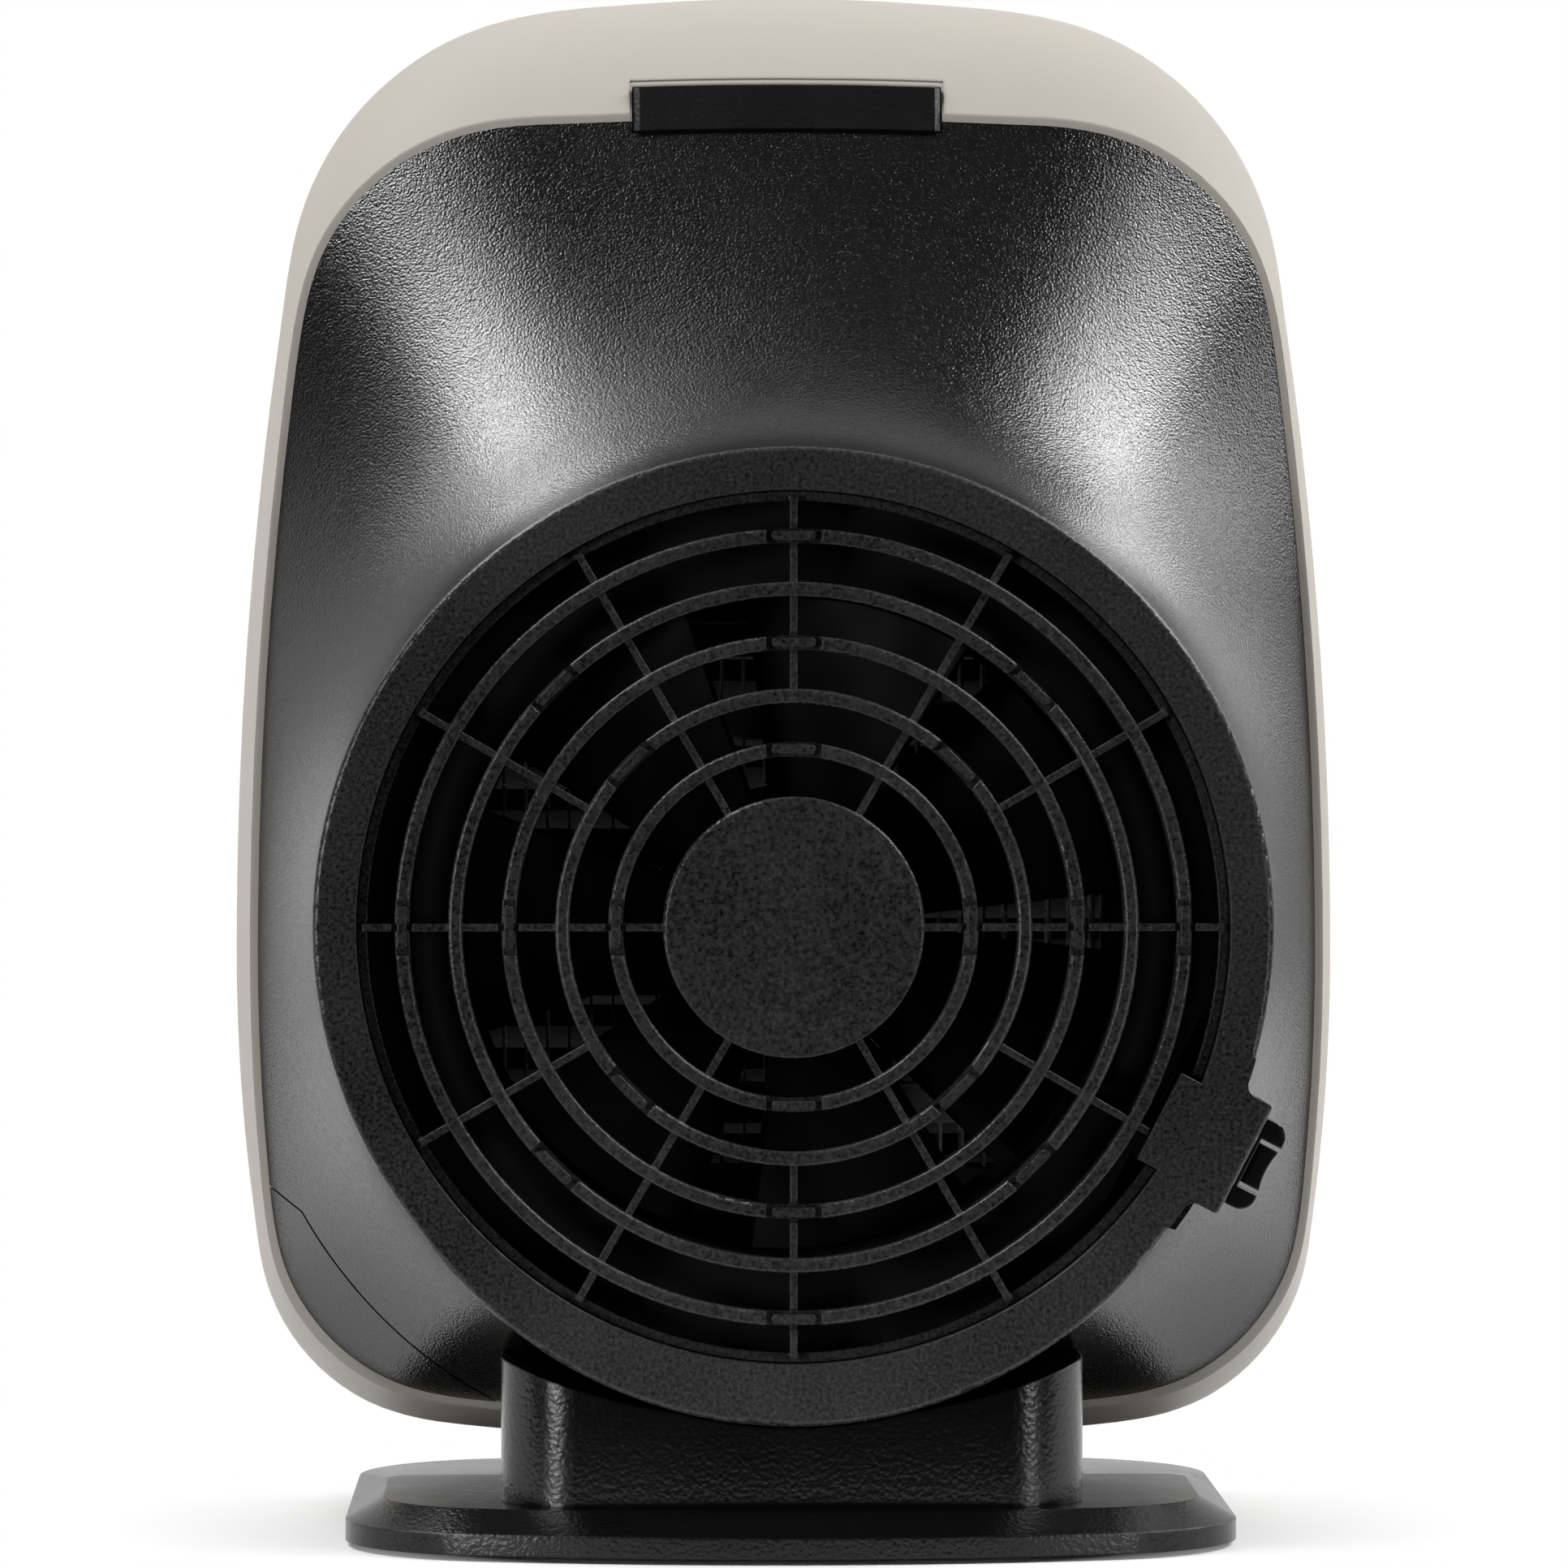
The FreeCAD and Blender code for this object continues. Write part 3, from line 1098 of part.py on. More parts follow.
def make_outlet_panel():
    back = FRONT_Y + WALL
    plate = straight_volume(BEZEL_RIM - PANEL_FLANGE, back, PANEL_REAR_Y)
    raised = straight_volume(BEZEL_RIM + SEAM, PANEL_FACE_Y, back + PANEL_THICK / 2)
    panel = fuse_all([plate, raised])
    half_w = DUCT_WIDTH / 2 - DUCT_LAP
    low = AXIS_Z - DUCT_HEIGHT / 2 + DUCT_LAP
    high = AXIS_Z + DUCT_HEIGHT / 2 - DUCT_LAP
    air_way = block(-half_w, half_w, FRONT_Y - OVER, PANEL_REAR_Y + OVER, low, high)
    for x in (-half_w / 3, half_w / 3):
        mullion = block(x - MULLION_HALF, x + MULLION_HALF, FRONT_Y - 2 * OVER, PANEL_REAR_Y + 2 * OVER,
                        low - OVER, high + OVER)
        air_way = air_way.cut(mullion)
    field = straight_volume(BEZEL_RIM + GROOVE_MARGIN, FRONT_Y - OVER, PANEL_FACE_Y + GROOVE_DEPTH)
    rows = int((GROOVE_TOP_Z - GROOVE_LOW_Z) / LOUVRE_PITCH)
    louvres = Part.makeCompound([louvre_slot(GROOVE_LOW_Z + LOUVRE_PITCH * (k + 0.5)) for k in range(rows)])
    slots = [louvres.common(field), louvres.common(air_way)]
    window_half = CONTROL_WIDTH / 2 + SEAM
    window_rise = CONTROL_HEIGHT / 2 + SEAM
    window = block(-window_half, window_half, FRONT_Y - OVER, PANEL_FACE_Y + CONTROL_THICK,
                   CONTROL_Z - window_rise, CONTROL_Z + window_rise)
    holes = []
    for x in KEY_XS:
        holes.append(rod(KEY_R + KEY_FLANGE + KEY_GAP, FRONT_Y - OVER, PANEL_REAR_Y + OVER, x, CONTROL_Z))
    panel = panel.cut(slots + [window] + holes)
    posts = []
    across = BOARD_WIDTH / 2 - STANDOFF_INSET
    up = BOARD_HEIGHT / 2 - STANDOFF_INSET
    for x in (-across, across):
        for z in (CONTROL_Z - up, CONTROL_Z + up):
            posts.append(rod(STANDOFF_R, PANEL_REAR_Y - PANEL_THICK / 2, BOARD_Y, x, z))
    return fuse_all([panel] + posts)


def make_control_panel():
    y0 = PANEL_FACE_Y
    y1 = PANEL_FACE_Y + CONTROL_THICK
    plate = block(-CONTROL_WIDTH / 2, CONTROL_WIDTH / 2, y0, y1, CONTROL_Z - CONTROL_HEIGHT / 2,
                  CONTROL_Z + CONTROL_HEIGHT / 2)
    corners = [e for e in plate.Edges if abs(e.BoundBox.YLength - CONTROL_THICK) < TOUCH]
    plate = plate.makeFillet(CONTROL_ROUND, corners)
    return plate.cut([rod(KEY_R + KEY_GAP, y0 - OVER, y1 + OVER, x, CONTROL_Z) for x in KEY_XS])


def make_key(x):
    y0 = PANEL_FACE_Y - KEY_PROUD
    flange_y = PANEL_FACE_Y + CONTROL_THICK + RUN_FIT
    cap = rod(KEY_R, y0, KEY_BACK_Y, x, CONTROL_Z)
    front_edge = [e for e in cap.Edges if abs(e.BoundBox.YMax - y0) < TOUCH]
    cap = cap.makeFillet(KEY_ROUND, front_edge)
    flange = rod(KEY_R + KEY_FLANGE, flange_y, KEY_BACK_Y, x, CONTROL_Z)
    return fuse_all([cap, flange])


def make_control_board():
    return block(-BOARD_WIDTH / 2, BOARD_WIDTH / 2, BOARD_Y, BOARD_Y + BOARD_THICK,
                 CONTROL_Z - BOARD_HEIGHT / 2, CONTROL_Z + BOARD_HEIGHT / 2)


def make_tact_switches():
    half = TACT_SIZE / 2
    switches = []
    for x in KEY_XS:
        front = BOARD_Y - TACT_HEIGHT
        base = block(x - half, x + half, front + TACT_STEM, BOARD_Y, CONTROL_Z - half, CONTROL_Z + half)
        stem = rod(TACT_STEM_R, front, BOARD_Y, x, CONTROL_Z)
        switches.append(fuse_all([base, stem]))
    return switches


# Switch leads


def rounded_path(points):
    """Straight runs through the points, joined by the largest arcs that their runs allow."""
    edges = []
    last = points[0]
    for k in range(1, len(points) - 1):
        back = points[k - 1] - points[k]
        ahead = points[k + 1] - points[k]
        cut = LEAD_BEND_SHARE * min(back.Length, ahead.Length)
        turn = math.pi - back.getAngle(ahead)
        radius = cut / math.tan(turn / 2)
        back.normalize()
        ahead.normalize()
        middle = (back + ahead).normalize()
        start = points[k] + back * cut
        end = points[k] + ahead * cut
        top = points[k] + middle * (math.hypot(cut, radius) - radius)
        edges.append(Part.LineSegment(last, start).toShape())
        edges.append(Part.Arc(start, top, end).toShape())
        last = end
    edges.append(Part.LineSegment(last, points[-1]).toShape())
    return Part.Wire(edges)


def make_switch_leads():
    turn = math.radians(SWITCH_ANGLE)
    reach = HOUSING_OUTER - SWITCH_BODY_DEEP - TERMINAL_LENGTH / 2
    start_x = -reach * math.cos(turn)
    start_z = AXIS_Z + reach * math.sin(turn)
    start_y = SWITCH_Y - BLADE_REACH
    end_z = COMPONENT_Z + TERMINAL_BLOCK_HEIGHT / 2
    block_x = -BOARD_WIDTH / 2
    side_x = start_x - LEAD_SIDE_STEP
    leads = []
    for side in (-1, 1):
        shift = V(-math.sin(turn), 0, -math.cos(turn)) * (side * LEAD_SPREAD)
        route = [
            V(start_x, start_y, start_z),
            V(start_x, start_y - LEAD_FIRST_RUN, start_z),
            V(side_x, LEAD_LOW_Y, AXIS_Z + LEAD_LOW_RISE),
            V(side_x, LEAD_HIGH_Y, POWER_Z - LEAD_HIGH_DROP),
            V(block_x - LEAD_LAST_RUN, TERMINAL_BLOCK_Y, end_z),
            V(block_x - shift.x, TERMINAL_BLOCK_Y, end_z),
        ]
        path = rounded_path([point + shift for point in route])
        first = path.Edges[0]
        circle = Part.makeCircle(LEAD_R, route[0] + shift, first.tangentAt(first.FirstParameter))
        leads.append(path.makePipeShell([Part.Wire([circle])], True, False))
    return leads


def make_terminal_block():
    x0 = -BOARD_WIDTH / 2
    return block(x0, x0 + TERMINAL_BLOCK_DEEP, TERMINAL_BLOCK_Y - TERMINAL_BLOCK_HALF,
                 TERMINAL_BLOCK_Y + TERMINAL_BLOCK_HALF, COMPONENT_Z, COMPONENT_Z + TERMINAL_BLOCK_HEIGHT)


# Neck and base


def plan_wire(half, front, rear, front_arc, rear_arc, front_corner, rear_corner, z):
    """Rounded outline seen from above: bowed front and rear, straight sides, four corner arcs."""
    rear_c = V(0, rear - rear_arc, z)
    front_c = V(0, front + front_arc, z)
    rear_x = half - rear_corner
    front_x = half - front_corner
    rear_k = V(rear_x, rear_c.y + math.sqrt((rear_arc - rear_corner) ** 2 - rear_x ** 2), z)
    front_k = V(front_x, front_c.y - math.sqrt((front_arc - front_corner) ** 2 - front_x ** 2), z)

    def on_arc(centre, radius, towards):
        step = towards - centre
        return centre + step * (radius / step.Length)

    rear_touch = on_arc(rear_c, rear_arc, rear_k)
    front_touch = on_arc(front_c, front_arc, front_k)
    rear_side = V(half, rear_k.y, z)
    front_side = V(half, front_k.y, z)
    rear_mid = rear_k + (rear_touch - rear_k + rear_side - rear_k).normalize() * rear_corner
    front_mid = front_k + (front_touch - front_k + front_side - front_k).normalize() * front_corner

    def flip(point):
        return V(-point.x, point.y, point.z)

    edges = [
        Part.Arc(flip(rear_touch), V(0, rear, z), rear_touch).toShape(),
        Part.Arc(rear_touch, rear_mid, rear_side).toShape(),
        Part.LineSegment(rear_side, front_side).toShape(),
        Part.Arc(front_side, front_mid, front_touch).toShape(),
        Part.Arc(front_touch, V(0, front, z), flip(front_touch)).toShape(),
        Part.Arc(flip(front_touch), flip(front_mid), flip(front_side)).toShape(),
        Part.LineSegment(flip(front_side), flip(rear_side)).toShape(),
        Part.Arc(flip(rear_side), flip(rear_mid), flip(rear_touch)).toShape(),
    ]
    return Part.Wire(edges)


def prism(wire, height):
    return Part.Face(wire).extrude(V(0, 0, height))


def neck_plan(inset, z, height):
    corner = NECK_CORNER - inset
    wire = plan_wire(NECK_HALF - inset, NECK_FRONT_Y + inset, NECK_REAR_Y - inset, NECK_REAR_ARC,
                     NECK_REAR_ARC, corner, corner, z)
    return prism(wire, height)


def neck_room(body, grow):
    """Take from a neck solid what the saddle, the rear cover, the intake ring and the shell need."""
    saddle = rod(NECK_SADDLE_R + grow - SEAT, NECK_FRONT_Y - OVER, NECK_REAR_Y + OVER, 0,
                 NECK_SADDLE_Z + NECK_SADDLE_R)
    body = body.cut(saddle).cut(cover_volume(-grow, LOFT_OVER)).cut(drum_volume(grow, RING_Y - grow))
    body = body.cut(shell_volume(-grow, LOFT_OVER))
    return max(body.Solids, key=lambda solid: solid.Volume)


def make_neck():
    body = neck_room(neck_plan(0, BASE_TOP_Z, NECK_SADDLE_R), SEAT)
    hollow = neck_room(neck_plan(NECK_WALL, BASE_TOP_Z, NECK_SADDLE_R), SEAT + NECK_WALL)
    posts = [post(BOSS_R, x, y, 0, NECK_SADDLE_R) for x, y in NECK_POSTS]
    posts += neck_screw_bosses(BOSS_R, NECK_SCREW_Z, NECK_SADDLE_R)
    holes = [post(SCREW_R + RUN_FIT, x, y, 0, BASE_TOP_Z + NECK_THREAD) for x, y in NECK_POSTS]
    holes += neck_screw_bosses(SCREW_R + RUN_FIT, 0, NECK_SADDLE_R)
    return body.cut(hollow.cut(posts)).cut(holes)


def make_neck_screws():
    return [screw_up(0, y, NECK_SCREW_Z, NECK_SCREW_Z + NECK_SCREW_LENGTH) for y in NECK_SCREW_YS]


def base_plan(inset, z):
    return plan_wire(BASE_HALF - inset, BASE_FRONT_Y + inset, BASE_REAR_Y - inset, BASE_FRONT_ARC - inset,
                     BASE_REAR_ARC - inset, BASE_FRONT_CORNER - inset, BASE_REAR_CORNER - inset, z)


def make_base_cover():
    low = prism(base_plan(0, FOOT_HEIGHT), BASE_EDGE_Z - FOOT_HEIGHT)
    plateau = plan_wire(BASE_HALF - BASE_CHAMFER, PLATEAU_FRONT_Y, BASE_REAR_Y - BASE_CHAMFER,
                        PLATEAU_FRONT_ARC, BASE_REAR_ARC - BASE_CHAMFER, PLATEAU_CORNER,
                        BASE_REAR_CORNER - BASE_CHAMFER, BASE_TOP_Z)
    top = Part.makeLoft([base_plan(0, BASE_EDGE_Z), plateau], True, True)
    cavity = prism(base_plan(BASE_WALL, FOOT_HEIGHT), BALLAST_THICK)
    holes = []
    for x, y in NECK_POSTS:
        holes.append(post(SCREW_R + RUN_FIT, x, y, 0, BASE_TOP_Z + OVER))
    return fuse_all([low, top]).cut(cavity).cut(holes)


def make_ballast_plate():
    plate = prism(base_plan(BASE_WALL + SEAM, FOOT_HEIGHT), BALLAST_THICK)
    holes = []
    for x, y in NECK_POSTS:
        holes.append(post(SCREW_R + RUN_FIT, x, y, 0, BASE_TOP_Z))
        holes.append(post(SCREW_HEAD_R + FIT, x, y, 0, FOOT_HEIGHT + SCREW_HEAD))
    return plate.cut(holes)


def make_base_screws():
    head_z = FOOT_HEIGHT + SCREW_HEAD
    return [screw_up(x, y, head_z, BASE_TOP_Z + NECK_THREAD - SCREW_SPARE) for x, y in NECK_POSTS]


def make_feet():
    feet = []
    for x in (-FOOT_X, FOOT_X):
        for y in (FOOT_FRONT_Y, FOOT_REAR_Y):
            feet.append(post(FOOT_R, x, y, 0, FOOT_HEIGHT))
    return feet


def make_tip_switch():
    y = sum(NECK_SCREW_YS) / len(NECK_SCREW_YS)
    return block(TIP_SWITCH_X - TIP_SWITCH_HALF, TIP_SWITCH_X + TIP_SWITCH_HALF, y - TIP_SWITCH_HALF_DEPTH,
                 y + TIP_SWITCH_HALF_DEPTH, BASE_TOP_Z, BASE_TOP_Z + TIP_SWITCH_HEIGHT)


def main():
    os.makedirs("parts", exist_ok=True)
    blank = make_rear_cover_blank()
    save("rear_cover", make_rear_cover(blank))
    save("corner_panel", make_corner_panel(blank))
    save("cord_inlet", make_cord_inlet())
    save("intake_ring", make_intake_ring())
    save("outer_shell", make_outer_shell())
    save("front_bezel", make_front_bezel())
    save("top_tab", make_top_tab())
    save("intake_grille", make_intake_grille())
    save("switch_body", make_switch_body())
    save("switch_rocker", make_switch_rocker())
    save("switch_terminals", make_switch_terminals())
    save("fan_shroud", make_fan_shroud())
    save("fan_impeller", make_fan_impeller())
    save("fan_clip", make_fan_clip())
    save("motor_shaft", make_motor_shaft())
    save("motor_rotor", make_motor_rotor())
    save("motor_can", make_motor_can())
    save("motor_stator", make_motor_stator())
    save("motor_bushes", make_motor_bushes())
    save("motor_bracket", make_motor_bracket())
    save("motor_screws", make_motor_screws())
    save("bracket_screws", make_bracket_screws())
    save("air_duct", make_air_duct())
    save("ptc_frame", make_ptc_frame())
    save("ptc_bars", make_ptc_bars())
    save("ptc_fins", make_ptc_fins())
    save("thermal_cutout", make_thermal_cutout())
    save("thermal_fuse", make_thermal_fuse())
    save("power_board", make_power_board())
    save("power_standoffs", make_power_standoffs())
    save("terminal_block", make_terminal_block())
    save("switch_leads", make_switch_leads())
    save("outlet_panel", make_outlet_panel())
    save("control_panel", make_control_panel())
    for k, x in enumerate(KEY_XS):
        save("control_key_" + str(k + 1), make_key(x))
    save("control_board", make_control_board())
    save("tact_switches", make_tact_switches())
    save("neck", make_neck())
    save("neck_screws", make_neck_screws())
    save("base_cover", make_base_cover())
    save("ballast_plate", make_ballast_plate())
    save("base_screws", make_base_screws())
    save("feet", make_feet())
    save("tip_switch", make_tip_switch())


if __name__ == "__main__":
    main()
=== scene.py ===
import math

import bpy
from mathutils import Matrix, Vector


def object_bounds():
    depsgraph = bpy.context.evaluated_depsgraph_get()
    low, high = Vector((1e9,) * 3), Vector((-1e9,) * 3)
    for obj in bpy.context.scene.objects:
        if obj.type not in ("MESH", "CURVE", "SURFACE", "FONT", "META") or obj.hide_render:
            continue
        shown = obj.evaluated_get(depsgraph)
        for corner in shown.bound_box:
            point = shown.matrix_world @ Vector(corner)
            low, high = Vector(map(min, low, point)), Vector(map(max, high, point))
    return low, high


bl_info = {
    "name": "Fan Heater Finish",
    "version": (1, 0, 0),
    "blender": (4, 5, 0),
    "location": "View3D > Sidebar > Heater",
    "description": "Finishes and studio for a table-top fan heater",
    "category": "Object",
}

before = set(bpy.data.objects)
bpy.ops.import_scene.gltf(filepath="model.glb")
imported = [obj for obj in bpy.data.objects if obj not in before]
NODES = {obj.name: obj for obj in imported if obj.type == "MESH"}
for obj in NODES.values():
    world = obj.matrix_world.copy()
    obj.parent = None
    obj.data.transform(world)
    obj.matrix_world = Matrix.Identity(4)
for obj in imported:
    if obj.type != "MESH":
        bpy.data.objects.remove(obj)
CAD_LOW, CAD_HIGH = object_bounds()

# Rays that look for an edge to round, at each shaded point
EDGE_SAMPLES = 4

# Detail of slow patches, and detail and roughness of a moulding's fine grain
SLOW_DETAIL = 4.0
FINE_DETAIL = 2.5
FINE_ROUGH = 0.6

# How softly the pebbles of a grain run into each other
PEBBLE_SMOOTH = 0.6

# Waves to the metre of a moulding's slow drift of tone
DRIFT_SCALE = 22.0

# Waves to the metre of worn patches on a moulding, what its grain adds to them, and the range that is used
WEAR_SCALE = 60.0
WEAR_GRAIN = 0.35
WEAR_LOW = 0.4
WEAR_HIGH = 0.95

# Waves to the metre of drawn lines on metal, with their stretch, strength and height
LINE_SCALE = 2600.0
LINE_STRETCH = 0.06
LINE_STRENGTH = 0.25
LINE_DEPTH = 0.00003

# Waves to the metre of dull patches on metal, their share of the colour, and the range of the roughness
PATCH_SCALE = 90.0
DULL_SHARE = 0.8
DULL_BELOW = 0.08
DULL_ABOVE = 0.1

# Y of a direction at which the white backdrop begins, and at which it is full
BACKDROP_EDGE = 0.1
BACKDROP_FULL = -0.4

# Soft panels on a dome round the object: turn from the camera's side and lean from upright to the left in
# degrees, depth and width in metres, and power in watts
PANELS = {
    "left_key": (76.0, 36.0, 0.60, 0.34, 10.0),
    "left_back": (108.0, 32.0, 0.34, 0.50, 3.8),
    "left_flank": (92.0, 54.0, 0.50, 0.34, 2.0),
    "left_side": (38.0, 92.0, 0.34, 0.34, 5.0),
    "left_rim": (150.0, 88.0, 0.34, 0.34, 0.2),
    "top": (84.0, 18.0, 0.34, 0.34, 1.5),
    "right_key": (84.0, -52.0, 0.34, 0.34, 7.0),
    "right_high": (75.0, -38.0, 0.50, 0.34, 6.6),
    "right_back": (113.0, -52.0, 0.55, 0.40, 4.0),
    "right_flank": (96.0, -72.0, 0.34, 0.34, 2.0),
    "right_side": (40.0, -92.0, 0.34, 0.34, 2.5),
    "right_rim": (130.0, -72.0, 0.34, 0.34, 0.6),
}

# Distances from the middle between which the floor fades into the white background
FLOOR_NEAR = 0.08
FLOOR_FAR = 0.12

# The floor is a table top that ends a little way beyond the object on the camera's side
FLOOR_SIZE = 6.0
FLOOR_EDGE = 0.13
FLOOR_WHITE = (0.86, 0.86, 0.86, 1.0)
FLOOR_ROUGH = 0.8

# Width of the camera's sensor in millimetres, and the depths between which it sees
SENSOR = 36.0
NEAREST = 0.05
FARTHEST = 30.0


# Values that a user would change


def colour(label, words, default):
    return bpy.props.FloatVectorProperty(
        name=label, description=words, subtype="COLOR", size=3, min=0.0, max=1.0, default=default
    )


def length(label, words, default):
    return bpy.props.FloatProperty(
        name=label, description=words, unit="LENGTH", min=0.0, default=default, precision=5
    )


def share(label, words, default):
    return bpy.props.FloatProperty(
        name=label, description=words, subtype="FACTOR", min=0.0, max=1.0, default=default
    )


def point(label, words, default):
    return bpy.props.FloatVectorProperty(
        name=label, description=words, subtype="XYZ", unit="LENGTH", size=3, default=default
    )


class HeaterColours(bpy.types.PropertyGroup):
    """Colours of the heater's pieces."""

    casing: colour("Casing", "Warm off-white of the casing", (0.405, 0.377, 0.342))
    cover: colour("Rear cover", "Charcoal of the flared rear cover", (0.0062, 0.0058, 0.0058))
    # The intake's speckle is painted light: its colour is lighter on the raised grains, like glints, and
    # darker in the hollows.
    intake: colour("Intake", "Speckled black of the grille and its ring", (0.028, 0.028, 0.0286))
    tab: colour("Tab", "Black of the tab under the hood", (0.007, 0.007, 0.0072))
    switch: colour("Switch", "Black of the polished switch and control strip", (0.008, 0.008, 0.009))
    stand: colour("Stand", "Near-black of the neck and base", (0.002, 0.002, 0.0021))
    works: colour("Inner plastic", "Black of the shroud, fan and outlet", (0.0025, 0.0025, 0.0026))
    rubber: colour("Rubber", "Black of the feet and the cord bush", (0.02, 0.02, 0.02))
    steel: colour("Steel", "Grey of screws, shaft and cut-out", (0.55, 0.55, 0.56))
    zinc: colour("Zinc plate", "Grey of the motor can", (0.42, 0.43, 0.45))
    duct: colour("Duct", "Black heat-proof coat of the sheet duct", (0.01, 0.01, 0.01))
    iron: colour("Iron", "Dark grey of the motor's iron and the ballast", (0.1, 0.1, 0.105))
    brass: colour("Brass", "Yellow of bushes and terminals", (0.72, 0.53, 0.24))
    aluminium: colour("Aluminium", "Pale grey of the heating fins", (0.72, 0.73, 0.74))
    ceramic: colour("Ceramic", "Grey of the heating bars", (0.24, 0.23, 0.22))
    heat_proof: colour("Heat-proof plastic", "Black plastic of the element frame", (0.014, 0.014, 0.014))
    board: colour("Board", "Green lacquer of the circuit boards", (0.03, 0.16, 0.07))
    lead: colour("Leads", "Brown insulation of the switch leads", (0.16, 0.06, 0.03))


class HeaterGrain(bpy.types.PropertyGroup):
    """Sizes of the moulded grains."""

    cover: length("Cover grain", "Width of one grain on the rear cover", 0.00045)
    intake: length("Intake grain", "Width of one grain on the grille and its ring", 0.0007)
    neck: length("Neck grain", "Width of one pebble of the neck's leather grain", 0.0009)
    base: length("Base grain", "Width of one grain on the base", 0.0008)
    casing: length("Casing grain", "Width of one grain on the casing", 0.0006)
    works: length("Inner grain", "Width of one grain on the inner mouldings", 0.0009)


class HeaterStudio(bpy.types.PropertyGroup):
    """Camera, lamps and background."""

    lens: bpy.props.FloatProperty(
        name="Lens", description="Focal length on a 36 mm sensor", default=187.47, unit="CAMERA"
    )
    eye: point("Eye", "Place of the camera", (0.0285, 1.463, 0.150))
    aim: bpy.props.FloatVectorProperty(
        name="Aim", description="Direction that the camera looks along", subtype="DIRECTION", size=3,
        default=(-0.01914, -1.0, -0.01218)
    )
    dome: length("Dome", "Distance of the soft panels from the object's middle", 1.3)
    level: share("Level", "Share of their full power that the soft panels give", 0.94)
    backdrop: share("Backdrop", "Light that the white backdrop gives", 0.6)
    room: share("Room", "Brightness of the room on the camera's side", 0.004)


# Node helpers


def new_material(name):
    material = bpy.data.materials.new(name)
    material.use_nodes = True
    nodes = material.node_tree.nodes
    nodes.clear()
    output = nodes.new("ShaderNodeOutputMaterial")
    shader = nodes.new("ShaderNodeBsdfPrincipled")
    material.node_tree.links.new(shader.outputs["BSDF"], output.inputs["Surface"])
    return material, shader


def link(material, source, target):
    material.node_tree.links.new(source, target)


def object_place(material):
    return material.node_tree.nodes.new("ShaderNodeTexCoord").outputs["Object"]


def noise(material, place, scale, detail=3.0, roughness=0.55):
    node = material.node_tree.nodes.new("ShaderNodeTexNoise")
    node.inputs["Scale"].default_value = scale
    node.inputs["Detail"].default_value = detail
    node.inputs["Roughness"].default_value = roughness
    link(material, place, node.inputs["Vector"])
    return node.outputs["Fac"]


def cells(material, place, scale):
    """Rounded cells, like the pebbles of a leather grain."""
    node = material.node_tree.nodes.new("ShaderNodeTexVoronoi")
    node.feature = "SMOOTH_F1"
    node.inputs["Scale"].default_value = scale
    node.inputs["Smoothness"].default_value = PEBBLE_SMOOTH
    link(material, place, node.inputs["Vector"])
    return node.outputs["Distance"]


def spread(material, value, low, high, from_low=0.3, from_high=0.7):
    node = material.node_tree.nodes.new("ShaderNodeMapRange")
    node.inputs["From Min"].default_value = from_low
    node.inputs["From Max"].default_value = from_high
    node.inputs["To Min"].default_value = low
    node.inputs["To Max"].default_value = high
    link(material, value, node.inputs["Value"])
    return node.outputs["Result"]


def blend_colour(material, factor, first, second):
    node = material.node_tree.nodes.new("ShaderNodeMix")
    node.data_type = "RGBA"
    node.inputs["A"].default_value = (*first, 1.0)
    node.inputs["B"].default_value = (*second, 1.0)
    link(material, factor, node.inputs["Factor"])
    return node.outputs["Result"]


def add_values(material, first, second, weight):
    """First value, and the second one times its weight."""
    node = material.node_tree.nodes.new("ShaderNodeMath")
    node.operation = "MULTIPLY_ADD"
    node.inputs[1].default_value = weight
    link(material, second, node.inputs[0])
    link(material, first, node.inputs[2])
    return node.outputs["Value"]


def bump(material, shader, height, strength, depth, edge=0.0):
    """Raise a grain on the surface, and round its edges where a radius is given."""
    node = material.node_tree.nodes.new("ShaderNodeBump")
    node.inputs["Strength"].default_value = strength
    node.inputs["Distance"].default_value = depth
    link(material, height, node.inputs["Height"])
    if edge:
        rounding = material.node_tree.nodes.new("ShaderNodeBevel")
        rounding.samples = EDGE_SAMPLES
        rounding.inputs["Radius"].default_value = edge
        link(material, rounding.outputs["Normal"], node.inputs["Normal"])
    link(material, node.outputs["Normal"], shader.inputs["Normal"])


